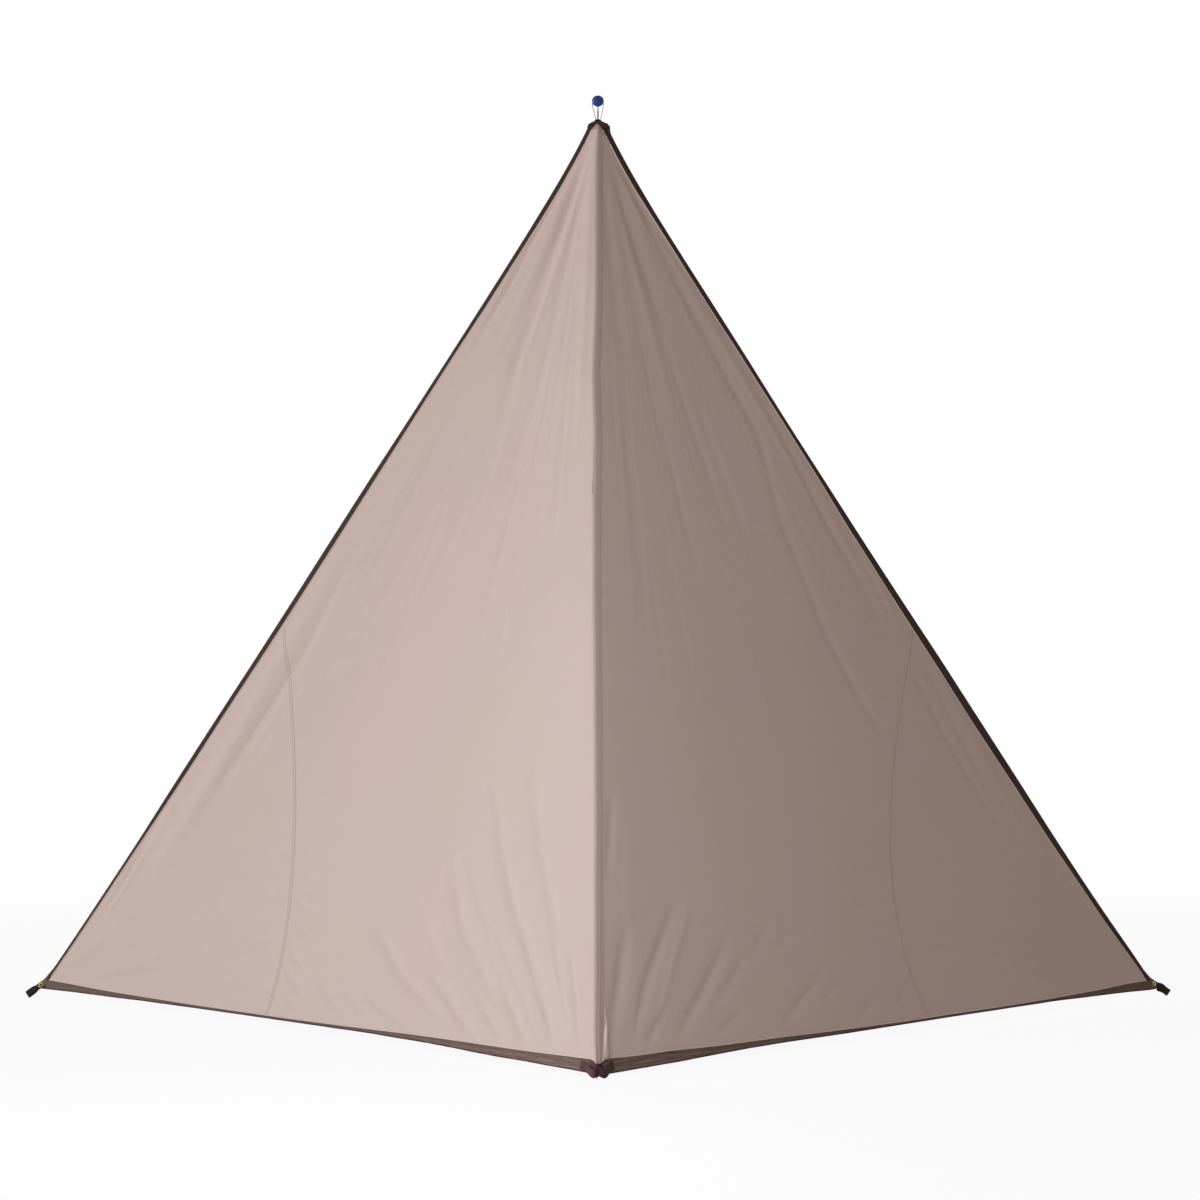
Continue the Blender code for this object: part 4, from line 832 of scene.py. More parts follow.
panelCloth = {
    "ridgeGap": 0.0013,       # room that the two panels leave along the ridge
    "seamGap": 0.0002,
    "tip": 0.002,             # how narrow the corner panel starts
    "crowd": 1.18,            # columns crowd towards the ridge
    "upperRows": 0.5,         # share of the rows above the curved seam
    "upperCrowd": 1.35,
    "cornerCrowd": 0.9,
}


def downPanel(t):
    share = panelCloth["upperRows"]
    upper = seamTop * (np.clip(t / share, 0, 1)) ** panelCloth["upperCrowd"]
    lower = mix(seamTop, 1.0, np.clip((t - share) / (1 - share), 0, 1))
    return np.where(t < share, upper, lower)


def mainPlace(side):
    def place(s, t):
        v = downPanel(t)
        width = widthAt(side, v)
        start = panelCloth["ridgeGap"] / width
        end = np.where(v > seamTop, seamU(side, v), 1.0) - panelCloth["seamGap"] / width
        u = mix(start, end, s ** mix(1.0, panelCloth["crowd"], v))
        points = clothPoint(side, u, v)
        return points, onCloth(side, points)
    return place


def cornerPlace(side):
    def place(s, t):
        v = mix(seamTop, 1.0, t ** panelCloth["cornerCrowd"])
        tip = panelCloth["tip"] / widthAt(side, v)
        start = np.minimum(seamU(side, v), 1 - tip)
        u = mix(start, 1.0, s)
        points = clothPoint(side, u, v)
        return points, onCloth(side, points)
    return place


mainPanel = {"place": mainPlace, "cells": (158, 280), "thickness": 0.0006}
cornerPanel = {"place": cornerPlace, "cells": (84, 150), "thickness": 0.0006}
canopy = {}
for side, label in sides:
    canopy[side] = {"label": label, "trim": []}
    for kind, look in (("main", mainPanel), ("corner", cornerPanel)):
        piece = clothPiece(f"{label}{kind.title()}Panel", look, look["place"](side),
                           panelNormal(side), [beige, coated],
                           [f"panel_{label}_{kind}"])
        canopy[side][kind] = piece
        print(piece.name, len(piece.data.polygons), "faces")


# sewing: one stitch is made once and copied along each seam

stitch = {"length": 0.0034, "gap": 0.0011, "radius": 0.00042}

bpy.ops.object.select_all(action="DESELECT")
bpy.ops.mesh.primitive_uv_sphere_add(segments=6, ring_count=5, radius=1)
stitchModel = bpy.context.active_object
bpy.ops.object.mode_set(mode="EDIT")
bpy.ops.transform.resize(value=(stitch["radius"], stitch["radius"], stitch["length"] / 2),
                         center_override=(0, 0, 0))
bpy.ops.object.mode_set(mode="OBJECT")
stitchSpots = np.array([v.co[:] for v in stitchModel.data.vertices])
stitchFaces = [list(p.vertices) for p in stitchModel.data.polygons]
bpy.data.objects.remove(stitchModel)


def sewLine(name, side, line, thread):
    steps = np.linalg.norm(np.diff(line, axis=0), axis=1)
    reach = np.concatenate([[0], np.cumsum(steps)])
    spacing = stitch["length"] + stitch["gap"]
    spots = np.arange(spacing / 2, reach[-1], spacing)
    centre, ahead, behind = [np.stack([np.interp(spots + shift, reach, line[:, k])
                                       for k in range(3)], 1) for shift in (0, 0.001, -0.001)]
    way = units(ahead - behind)
    across = units(np.cross(np.broadcast_to(panelNormal(side), way.shape), way))
    upright = np.cross(way, across)
    count = len(stitchSpots)
    points = (centre[:, None, :] + across[:, None, :] * stitchSpots[None, :, :1]
              + upright[:, None, :] * stitchSpots[None, :, 1:2]
              + way[:, None, :] * stitchSpots[None, :, 2:])
    faces = [[c + k * count for c in face] for k in range(len(centre)) for face in stitchFaces]
    mesh = bpy.data.meshes.new(name)
    mesh.from_pydata(points.reshape(-1, 3).tolist(), [], faces)
    mesh.shade_smooth()
    piece = bpy.data.objects.new(name, mesh)
    bpy.context.scene.collection.objects.link(piece)
    dress(piece, thread)
    fasten(piece)
    return piece


# curved seams: a felled strip outside with one row of stitches, sealing tape inside

seamStop = 0.9995
seamFell = {"half": 0.0045, "lift": 0.0007, "start": 0.010, "thickness": 0.0006,
            "cells": (6, 260)}
seamTape = {"half": 0.0080, "lift": -0.0012, "start": 0.022, "thickness": 0.0004,
            "cells": (6, 260)}
seamSewing = {"start": 0.012, "stop": 0.9985, "inset": 0.0024, "lift": 0.0011}
edgeRoom = 0.012              # what the seams leave beside the edge


def seamSlant(side, v):
    step = 0.002
    a = panelPoint(side, seamU(side, v - step), v - step)
    b = panelPoint(side, seamU(side, np.minimum(v + step, 1.0)), np.minimum(v + step, 1.0))
    return np.maximum(np.sqrt(1 - (units(b - a) @ hemWay(side)) ** 2), 0.35)


def seamPlace(side, look):
    def place(s, t):
        v = mix(seamTop + look["start"], seamStop, t)
        width = widthAt(side, v) * seamSlant(side, v)
        offset = (2 * s - 1) * look["half"]
        u = np.minimum(seamU(side, v) + offset / width, 1 - edgeRoom / widthAt(side, v))
        return clothPoint(side, u, v, look["lift"]), np.stack([offset, t * 1.5], 1)
    return place


for side, label in sides:
    fell = clothPiece(f"{label}SeamFell", seamFell, seamPlace(side, seamFell), panelNormal(side),
                      [beige])
    tape = clothPiece(f"{label}SeamTape", seamTape, seamPlace(side, seamTape), -panelNormal(side),
                      [tapePaint], [f"{label}_seam_tape"])
    v = np.linspace(seamTop + seamSewing["start"], seamSewing["stop"], 500)
    u = seamU(side, v) + seamSewing["inset"] / widthAt(side, v)
    line = clothPoint(side, u, v, seamSewing["lift"])
    row = sewLine(f"{label}SeamStitches", side, line, brownThread)
    canopy[side]["trim"] += [fell, tape, row]
print("curved seams ready")


# ridge: a pleated strip outside, tape inside

ridgeStrip = {
    # width on each side of the crest, down its length
    "reach": {
        -1: [(0, 0.0030), (0.03, 0.0052), (0.80, 0.0052), (0.92, 0.0032), (1, 0.0030)],
        1: [(0, 0.0100), (0.03, 0.0225), (0.80, 0.0240), (0.93, 0.0300), (0.962, 0.0330),
            (0.978, 0.0430), (1, 0.0440)],
    },
    "tip": 0.0010,
    "thickness": 0.0007,
    "lift": 0.0009,
    "ripple": 0.0007,
    "rippleFrom": (0.72, 0.2),            # where it grows, down the ridge, and how fast
    "rippleLeast": 0.2,                   # share of it above that
    "pleats": 520,
    # gathers at the foot: how far it stands off at each place across
    "gathers": [(-0.0030, 0), (0.0, 0.0004), (0.0034, -0.0003), (0.0110, 0.0012), (0.0190, 0.0010),
                (0.0260, 0.0004), (0.0290, 0.0004), (0.0335, 0.0072), (0.0420, 0.0066),
                (0.0440, 0.0050)],
    "gathersFrom": (0.90, 0.085),         # where they start and how fast they grow
    "cells": (64, 420),
    "tongue": (0.0145, 0.0150, 0.0080),   # its point over the hem: middle, half width, length
    "tongueFrom": 0.988,
    "tongueLift": 0.0016,
    "gape": (0.385, 0.016, 0.0022),       # where its left edge stands open
}


def ridgeAcross(v, offset, lift):
    lift = np.broadcast_to(lift, v.shape)
    reach = np.abs(offset) + np.maximum(-lift, 0) * 0.5
    left = clothPoint(-1, reach / widthAt(-1, v), v)
    right = clothPoint(1, reach / widthAt(1, v), v)
    points = np.where((offset < 0)[:, None], left, right)
    toRight = 0.5 + 0.5 * offset / np.hypot(offset, pitch["crestRound"])
    out = panelNormal(-1) * (1 - toRight)[:, None] + panelNormal(1) * toRight[:, None]
    return points + units(out) * lift[:, None]


def stripHalf(side, v):
    return follow(ridgeStrip["reach"][side], v)


def ridgePlace(s, t):
    look = ridgeStrip
    length = np.linalg.norm(ridgeFoot - ridgeTop)
    down = mix(-look["tip"] / length, 1.0, t)
    v = np.maximum(down, 0.0)
    across = 2 * s - 1
    offset = across * np.where(across < 0, stripHalf(-1, v), stripHalf(1, v))
    start, growth = look["gathersFrom"]
    foot = smooth((v - start) / growth)
    places, heights = zip(*look["gathers"])
    rise = np.interp(offset, places, heights) * foot * smooth((1 - v) / 0.006 + 0.35)
    wander = 0.6 * np.sin(v * 47) + 0.35 * np.sin(v * 121 + 1.0)
    wave = np.sin(offset * look["pleats"] + wander)
    start, growth = look["rippleFrom"]
    ripple = look["ripple"] * mix(look["rippleLeast"], 1, smooth((v - start) / growth))
    rise += ripple * (0.5 + 0.5 * wave) * (1 - across ** 8)
    middle, reach, height = look["gape"]
    rise += height * np.exp(-((v - middle) / reach) ** 2) * np.clip(-across, 0, 1)
    points = ridgeAcross(v, offset, look["lift"] + rise)
    centre, half, drop = look["tongue"]
    point = np.clip(1 - np.abs(offset - centre) / half, 0, 1)
    point = point * smooth((t - look["tongueFrom"]) / (1 - look["tongueFrom"]))
    points = points + ridgeRun * (np.minimum(down, 0.0) * length + drop * point)[:, None]
    points = points + forward * (look["tongueLift"] * point)[:, None]
    return points, np.stack([offset, t * 2.6], 1)


strip = clothPiece("ridgeStrip", ridgeStrip, ridgePlace, forward, [seamCloth],
                   ["ridge_seam"])

ridgeTape = {"top": 0.012, "foot": 0.996, "half": 0.0068, "lift": -0.0013, "thickness": 0.0006,
             "cells": (12, 300)}


def innerTapePlace(s, t):
    v = mix(ridgeTape["top"], ridgeTape["foot"], t)
    offset = (2 * s - 1) * ridgeTape["half"]
    return ridgeAcross(v, offset, ridgeTape["lift"]), np.stack([offset, t * 2.5], 1)


innerTape = clothPiece("ridgeInnerTape", ridgeTape, innerTapePlace, -forward, [binding],
                       ["ridge_inner_tape"])
ridgeSewing = {"top": 0.02, "foot": 0.985, "inset": {-1: 0.0016, 1: 0.0026}, "lift": 0.0019}
for side, label in sides:
    v = np.linspace(ridgeSewing["top"], ridgeSewing["foot"], 700)
    offset = stripHalf(side, v) - ridgeSewing["inset"][side]
    line = clothPoint(side, offset / widthAt(side, v), v, ridgeSewing["lift"])
    row = sewLine(f"{label}RidgeStitches", side, line, beigeThread)
    canopy[side]["trim"].append(row)
canopy[-1]["trim"] += [strip, innerTape]

# a short open place beside the crest, where the dark inner tape shows
slit = {"top": 0.3905, "foot": 0.4210, "inset": 0.0060, "bow": 0.0008, "half": 0.0011,
        "lift": 0.0012, "thickness": 0.0004, "cells": (4, 60)}


def slitPlace(s, t):
    v = mix(slit["top"], slit["foot"], t)
    lens = np.sin(math.pi * np.clip(t, 0.02, 0.98)) ** 0.6
    reach = slit["inset"] - slit["bow"] * np.sin(math.pi * t) + (2 * s - 1) * slit["half"] * lens
    points = clothPoint(-1, reach / widthAt(-1, v), v, slit["lift"])
    return points, np.stack([reach, t * 0.08], 1)


gap = clothPiece("ridgeGap", slit, slitPlace, panelNormal(-1), [binding])
canopy[-1]["trim"].append(gap)
print("ridge ready")


# side edges: ribbed webbing folded over the cloth

edgeBinding = {
    # width of the outer leaf, from the apex to the corner
    "leaf": {
        -1: [(0, 0.0150), (0.012, 0.0150), (0.04, 0.0145), (0.085, 0.0155), (0.15, 0.0182),
             (0.197, 0.0190), (0.264, 0.0158), (0.333, 0.0180), (0.40, 0.0215), (0.471, 0.0245),
             (0.541, 0.0230), (0.612, 0.0219), (0.683, 0.0188), (0.755, 0.0175), (0.828, 0.0125),
             (0.876, 0.0122), (1, 0.0118)],
        1: [(0, 0.0185), (0.02, 0.0195), (0.05, 0.0185), (0.15, 0.0188), (0.197, 0.0215),
            (0.264, 0.0170), (0.333, 0.0150), (0.40, 0.0182), (0.471, 0.0262), (0.541, 0.0296),
            (0.612, 0.0334), (0.683, 0.0356), (0.755, 0.0318), (0.828, 0.0284), (0.876, 0.0266),
            (0.925, 0.0232), (0.95, 0.0224), (0.974, 0.0185), (1, 0.0160)],
    },
    "innerAtApex": 0.0050,
    "spreadLength": 0.085,
    "start": 0.0006,
    "crowd": 1.25,            # rows crowd towards the apex
    "leafShare": 0.42,        # what each leaf takes of its width, and the turn takes the rest
    "roundOut": 0.0008,
    "lift": 0.0013,
    "press": 0.0003,
    "thickness": 0.0009,
    "cells": (18, 420),
}
# the cloth's fold beside it, painted lighter than the panels: painted highlight
edgeWelt = {"top": 0.022, "foot": 0.994, "half": 0.0017, "span": (-0.1, 1.9), "lift": 0.0005,
            "rise": 0.0013, "thickness": 0.0004, "cells": (6, 420)}
edgeSewing = {"top": 0.035, "foot": 0.992, "inset": 0.0026, "lift": 0.0018}


def leafAt(side, v):
    return follow(edgeBinding["leaf"][side], v)


def bindingPlace(side):
    look = edgeBinding

    def place(s, t):
        v = look["start"] + (1 - look["start"]) * t ** look["crowd"]
        width = widthAt(side, v)
        apex = 1 - smooth(v * edgeLength / look["spreadLength"])
        outerLeaf = leafAt(side, v)
        innerLeaf = mix(outerLeaf, look["innerAtApex"], apex)
        share = look["leafShare"]
        angle = math.pi * np.clip((s - share) / (1 - 2 * share), 0, 1)
        outer = outerLeaf * (1 - np.clip(s / share, 0, 1))
        inner = innerLeaf * np.clip((s - 1 + share) / share, 0, 1)
        inset = np.where(s < 0.5, outer, inner) - look["roundOut"] * np.sin(angle)
        press = np.where(s < 0.5, outer / outerLeaf, inner / innerLeaf)
        lift = (look["lift"] - look["press"] * press ** 4) * np.cos(angle)
        points = clothPoint(side, 1 - inset / width, v, lift)
        return points, np.stack([inset * np.sign(s - 0.5), t * 2.86], 1)
    return place


def edgeWeltPlace(side):
    def place(s, t):
        look = edgeWelt
        v = mix(look["top"], look["foot"], t)
        inset = leafAt(side, v) + look["half"] * mix(*look["span"], s)
        lift = look["lift"] + look["rise"] * (1 - (2 * s - 1) ** 2)
        points = clothPoint(side, 1 - inset / widthAt(side, v), v, lift)
        return points, onCloth(side, points)
    return place


for side, label in sides:
    welt = clothPiece(f"{label}EdgeWelt", edgeWelt, edgeWeltPlace(side), panelNormal(side),
                      [weltHighlightCloth])
    piece = clothPiece(f"{label}EdgeBinding", edgeBinding, bindingPlace(side), hemWay(side),
                       [binding], [f"{label}_edge_webbing"])
    v = np.linspace(edgeSewing["top"], edgeSewing["foot"], 800)
    inset = leafAt(side, v) - edgeSewing["inset"]
    line = clothPoint(side, 1 - inset / widthAt(side, v), v, edgeSewing["lift"])
    row = sewLine(f"{label}EdgeStitches", side, line, brownThread)
    canopy[side]["trim"] += [welt, piece, row]
print("edge bindings ready")


# hem: a band of brown cloth that is tucked inwards along the middle of each side

hem = {
    "width": 0.030,
    "start": 0.0004,
    # how much of it faces out, from the front corner to the side corner
    "face": {
        -1: [(0, 0.0276), (0.025, 0.0273), (0.04, 0.0256), (0.07, 0.0241), (0.11, 0.0201),
             (0.15, 0.0194), (0.19, 0.0172), (0.235, 0.0135), (0.275, 0.0109), (0.32, 0.0091),
             (0.36, 0.0060), (0.4, 0.0047), (0.5, 0.0029), (0.6, 0.0028), (0.68, 0.0032),
             (0.735, 0.0048), (0.8, 0.0067), (0.84, 0.0092), (0.885, 0.0116), (0.93, 0.0154),
             (0.977, 0.0199), (1, 0.0225)],
        1: [(0, 0.0319), (0.03, 0.0306), (0.05, 0.0275), (0.08, 0.0262), (0.12, 0.0247),
            (0.16, 0.0192), (0.2, 0.0144), (0.24, 0.0117), (0.285, 0.0097), (0.325, 0.0080),
            (0.37, 0.0066), (0.41, 0.0056), (0.5, 0.0026), (0.7, 0.0022), (0.8, 0.0039),
            (0.85, 0.0081), (0.9, 0.0123), (0.94, 0.0177), (0.96, 0.0200), (1, 0.0235)],
    },
    "turn": math.radians(106),
    "turnFrom": 0.04,         # share of the hem over which the turn comes in
    "radius": 0.0020,
    "tucked": 0.0035,         # what is turned in at least
    "mitre": 0.100,
    "cornerMitre": 0.060,
    "overlap": 0.0014,
    "ledge": (0.0012, 0.0045),            # its upper edge stands off: height and width
    "thickness": 0.0008,
    "pucker": 0.0007,
    "puckerFade": 0.12,       # it is stronger near the front corner
    "puckerLeast": 0.35,
    "cells": (24, 420),
}
# the cloth's fold above it, painted lighter as a painted highlight, and a dark strip along the
# lower turn: painted shade
hemWelt = {"start": 0.010, "stop": 0.992, "half": 0.0015, "span": (1.8, 0.1), "lift": 0.0005,
           "rise": 0.0014, "thickness": 0.0004, "cells": (6, 420)}
hemShadeStrip = {"start": 0.004, "stop": 0.996, "reach": (-0.0004, 0.0030), "rise": 0.0007,
           "thickness": 0.0005, "cells": (6, 420)}
hemSewing = {"start": 0.02, "stop": 0.985, "down": 0.0026, "lift": 0.0008}


def hemFold(side, u):
    return follow(hem["face"][side], u), hem["turn"] * smooth(u / hem["turnFrom"])


def hemPoint(side, u, down, lift=0.0):
    start = panelPoint(side, u, np.ones(len(u)))
    square = hemDown(side)
    mitred = ridgeRun / (ridgeRun @ square)
    edgeRun = unit(sideCorner(side) - ridgeTop)
    below = mix(mitred, square, smooth(u * hemLength / hem["mitre"])[:, None])
    atCorner = smooth(1 - (1 - u) * hemLength / hem["cornerMitre"])[:, None]
    below = mix(below, edgeRun / (edgeRun @ square), atCorner)
    out = panelNormal(side)
    face, turn = hemFold(side, u)
    angle = np.clip(np.maximum(down - face, 0) / hem["radius"], 0, turn)
    rest = np.maximum(down - face - hem["radius"] * turn, 0)
    reach = np.minimum(down, face) + hem["radius"] * np.sin(angle) + rest * np.cos(angle)
    tuck = hem["radius"] * (1 - np.cos(angle)) + rest * np.sin(angle)
    return start + below * reach[:, None] + out * (lift - tuck)[:, None]


def hemPlace(side):
    def place(s, t):
        u = mix(hem["start"], 1.0, t)
        cut = np.maximum(hem["width"], hemFold(side, u)[0] + hem["tucked"])
        down = mix(-hem["overlap"], cut, s)
        swing = np.sin(u * 130 + 1.3 * side) + 0.7 * np.sin(u * 311 + 0.4)
        pucker = hem["pucker"] * (hem["puckerLeast"] + np.exp(-u / hem["puckerFade"]))
        pucker = pucker * swing * np.sin(math.pi * s) * smooth(u / 0.02)
        height, width = hem["ledge"]
        pucker = pucker + height * smooth(1 - (down + hem["overlap"]) / width)
        points = hemPoint(side, u, down, pucker)
        return points, np.stack([down, u * hemLength], 1)
    return place


def hemWeltPlace(side):
    def place(s, t):
        look = hemWelt
        u = mix(look["start"], look["stop"], t)
        down = -hem["overlap"] - look["half"] * mix(*look["span"], s)
        lift = look["lift"] + look["rise"] * (1 - (2 * s - 1) ** 2)
        points = hemPoint(side, u, down, lift)
        return points, onCloth(side, points)
    return place


def hemShadeStripPlace(side):
    def place(s, t):
        u = mix(hemShadeStrip["start"], hemShadeStrip["stop"], t)
        down = hemFold(side, u)[0] + mix(*hemShadeStrip["reach"], s)
        points = hemPoint(side, u, down, hemShadeStrip["rise"] * np.sin(math.pi * s))
        return points, np.stack([down, u * hemLength], 1)
    return place


for side, label in sides:
    piece = clothPiece(f"{label}HemBand", hem, hemPlace(side), panelNormal(side), [hemCloth],
                       [f"{label}_hem_band"])
    welt = clothPiece(f"{label}HemWelt", hemWelt, hemWeltPlace(side), panelNormal(side),
                      [weltHighlightCloth])
    # a dark strip along the lower turn: painted shade
    edge = clothPiece(f"{label}HemShadeStrip", hemShadeStrip, hemShadeStripPlace(side), hemDown(side), [ribbon])
    u = np.linspace(hemSewing["start"], hemSewing["stop"], 700)
    line = hemPoint(side, u, np.full(len(u), hemSewing["down"]), hemSewing["lift"])
    row = sewLine(f"{label}HemStitches", side, line, brownThread)
    canopy[side]["trim"] += [welt, edge, piece, row]
print("hems ready")


# side corners: reinforcement, grommet and peg loop

cornerPatch = {"reach": 0.062, "neck": 0.010, "tongue": 0.0310, "half": 0.012,
               "thickness": 0.0012, "cells": (12, 36)}
pegLoop = {
    # which way each loop points: turned back from straight out, and downwards
    "swing": {-1: math.radians(-4), 1: math.radians(33)},
    "droop": {-1: math.radians(36), 1: math.radians(28)},
    "tilt": math.radians(6),      # the tongue turns up a little towards the grommet
    "twist": {-1: math.radians(14), 1: math.radians(42)},
    "gap": {-1: 0.007, 1: 0.015},
    "opening": 0.35,          # share of its length in which it opens
    "width": 0.020,
    "cup": 0.0004,
    "stitched": 0.0028,
    "under": 0.0016,          # the back leg goes on behind the grommet
    "tail": (0.0040, 0.0180, 0.0085),
    "thickness": 0.0015,
    "bevel": 0.0003,
    "cells": (10, 90),
}

grommet = {"out": 0.020, "hole": 0.0040, "barrel": 0.0048, "flange": 0.0075, "sheet": 0.0008,
           "rim": 0.0009, "washerRim": 0.0007, "curl": 0.0006, "lip": 0.0004, "steps": 56}
boreRadius = grommet["barrel"] + 0.0002           # with room round the barrel


def loopAxes(side):
    look = pegLoop
    swing, droop = look["swing"][side], look["droop"][side]
    flat = np.array([side * math.cos(swing), math.sin(swing), 0])
    outward = flat * math.cos(droop) - np.array([0, 0, 1]) * math.sin(droop)
    normal = panelNormal(side)
    normal = unit(normal - outward * (normal @ outward))
    down = np.cross(normal, outward)
    down = down if down[2] < 0 else -down
    depth = pitch["layer"] * 1.5 + 2 * clearance + cornerPatch["thickness"] / 2
    return sideCorner(side) - panelNormal(side) * depth, outward, down, normal


def tilted(down, normal):
    tiltCos, tiltSin = math.cos(pegLoop["tilt"]), math.sin(pegLoop["tilt"])
    return down * tiltCos + normal * tiltSin, normal * tiltCos - down * tiltSin


def patchPlace(side):
    behind, outward, down, normal = loopAxes(side)
    upEdge = unit(ridgeTop - sideCorner(side))
    along = -hemWay(side)
    half, reach = cornerPatch["half"], cornerPatch["reach"]
    turned = tilted(down, normal)[0]
    rows = np.array([
        [behind + outward * cornerPatch["tongue"] + turned * half * k for k in (-1, 0, 1)],
        [behind + outward * cornerPatch["neck"] + turned * half * k for k in (-1, 0, 1)],
        [behind + down * half * k for k in (-1, 0, 1)],
        [behind + upEdge * reach, behind + (upEdge + along) * reach / 2, behind + along * reach],
    ])

    def place(s, t):
        row = np.clip(t * 3, 0, 3)
        column = np.clip(s * 2, 0, 2)
        j = np.minimum(row.astype(int), 2)
        i = np.minimum(column.astype(int), 1)
        a, b = (row - j)[:, None], (column - i)[:, None]
        upper = mix(rows[j, i], rows[j, i + 1], b)
        lower = mix(rows[j + 1, i], rows[j + 1, i + 1], b)
        return mix(upper, lower, a), np.stack([(s - 0.5) * 0.03, t * 0.1], 1)
    return place


def grommetFrame(side):
    behind, outward, down, normal = loopAxes(side)
    normal = tilted(down, normal)[1]
    centre = behind + outward * grommet["out"]
    across = unit(np.cross(outward, normal))
    return frameOf(centre, -np.cross(across, normal), -across, normal)


def roundRim(out, level, radius, way=1, steps=6):
    return [(out - radius + radius * math.cos(a), level + way * radius * math.sin(a))
            for a in np.linspace(0, math.pi / 2, steps)]


def eyeletProfile(halfStack):
    hole, barrel, flange, sheetMetal, radius, curl, lipDrop = (
        grommet[k] for k in ("hole", "barrel", "flange", "sheet", "rim", "curl", "lip"))
    top = halfStack + clearance
    foot = -halfStack - 2 * clearance - sheetMetal
    throat = [(barrel + curl - radius * math.sin(a), top + 0.0001 + radius * math.cos(a))
              for a in np.linspace(0, math.pi / 2, 6)]
    return [(hole, foot), (hole + sheetMetal, foot), (barrel, foot + curl), (barrel, top),
            (flange, top), *roundRim(flange, top, radius), *throat, (hole, top - lipDrop)]


def washerProfile(halfStack):
    inner, flange = boreRadius, grommet["flange"]
    top = -halfStack - clearance
    rim = roundRim(flange, top, grommet["washerRim"], -1, 5)
    return [(inner, top), (flange, top), *rim,
            (inner + grommet["lip"], top - grommet["sheet"]), (inner, top - 0.0005)]


def brassPiece(name, profile, place, node, body=canopyBody):
    piece = turnedPiece(name, profile, grommet["steps"], place)
    dress(piece, brass)
    fasten(piece, [node], body)
    return piece


def ribbonRoute(side):
    behind, outward, down, normal = loopAxes(side)
    look = pegLoop
    closed = cornerPatch["thickness"] / 2 + clearance + look["thickness"] / 2
    wide = look["gap"][side] / 2 + look["thickness"] / 2
    twistCos, twistSin = math.cos(look["twist"][side]), math.sin(look["twist"][side])
    thickZ = normal[2] * twistCos + down[2] * twistSin
    widthZ = down[2] * twistCos - normal[2] * twistSin
    roundEnd = (wide + look["thickness"] / 2) * math.hypot(outward[2], thickZ)
    turnAt = (behind[2] - look["width"] / 2 * abs(widthZ) - roundEnd) / abs(outward[2])
    tongue = cornerPatch["tongue"]
    first = tongue - look["stitched"]
    opened = mix(tongue, turnAt, look["opening"])
    way = [(mix(first, tongue, k / 4), closed) for k in range(4)]
    way += [(mix(tongue, opened, k / 10), mix(closed, wide, float(smooth(k / 10))))
            for k in range(11)]
    way += [(mix(opened, turnAt, k / 4), wide) for k in range(1, 4)]
    way += [(turnAt + wide * math.sin(a), wide * math.cos(a))
            for a in np.linspace(0, math.pi / 2, 13)]
    under = closed + look["under"]
    back, *rest = look["tail"]
    tail = [(out, -under) for out in (first - back, *rest)]
    route = np.array(way + [(out, -lift) for out, lift in reversed(way[:-1])] + tail)
    return route, turnAt


def loopPlace(side):
    behind, outward, down, normal = loopAxes(side)
    route, turnAt = ribbonRoute(side)
    look = pegLoop
    steps = np.linalg.norm(np.diff(route, axis=0), axis=1)
    reach = np.concatenate([[0], np.cumsum(steps)])

    def place(s, t):
        here = t * reach[-1]
        out = np.interp(here, reach, route[:, 0])
        lift = np.interp(here, reach, route[:, 1])
        tongue = cornerPatch["tongue"]
        twist = mix(-look["tilt"], look["twist"][side], smooth((out - tongue) / (turnAt - tongue)))
        thick = normal * np.cos(twist)[:, None] + down * np.sin(twist)[:, None]
        wide = down * np.cos(twist)[:, None] - normal * np.sin(twist)[:, None]
        cup = look["cup"] * (2 * s - 1) ** 2
        points = behind + outward * out[:, None] + thick * (lift - cup * np.sign(lift))[:, None]
        points = points + wide * ((2 * s - 1) * look["width"] / 2)[:, None]
        return points, np.stack([(s - 0.5) * look["width"], here], 1)
    return place


for side, label in sides:
    hole = grommetFrame(side)
    stack = cornerPatch["thickness"] / 2
    patch = clothPiece(f"{label}CornerPatch", cornerPatch, patchPlace(side), panelNormal(side),
                       [hemCloth], [f"{label}_corner_patch"],
                       bore=(hole, boreRadius))
    eyelet = brassPiece(f"{label}Grommet", eyeletProfile(stack), hole, f"{label}_grommet")
    washer = brassPiece(f"{label}GrommetWasher", washerProfile(stack), hole,
                        f"{label}_grommet_washer")
    loop = clothPiece(f"{label}PegLoop", pegLoop, loopPlace(side), None, [ribbon],
                      [f"{label}_peg_loop"])
    canopy[side]["trim"] += [patch, eyelet, washer, loop]
print("side corners ready")


# front corner: patch over the mitred hems, and the ribbon with two lobes

frontLoop = {
    # along the hem and down it, where the ribbon leaves the band
    "legs": {-1: [(0.0500, 0.0140), (0.0420, 0.0165)], 1: [(0.0550, 0.0140), (0.0476, 0.0172)]},
    # its loose part, from the band to the pinch
    "lobes": {
        -1: [(-0.0238, -1.0760, 0.0198), (-0.0170, -1.0960, 0.0152), (-0.0108, -1.1075, 0.0130),
             (-0.0049, -1.1075, 0.0144)],
        1: [(0.0280, -1.0740, 0.0197), (0.0222, -1.0930, 0.0138), (0.0151, -1.1075, 0.0126),
            (0.0069, -1.1065, 0.0155)],
    },
    "pinch": (0.0010, -1.0985, 0.0179),
    "width": 0.0205,
    "thickness": 0.0015,
    "bevel": 0.0003,
    "cells": (12, 140),
}
frontPatch = {"half": 0.022, "inset": 0.0010, "point": 0.0012, "thickness": 0.0010,
              "cells": (32, 14)}


def one(value):
    return np.array([float(value)])


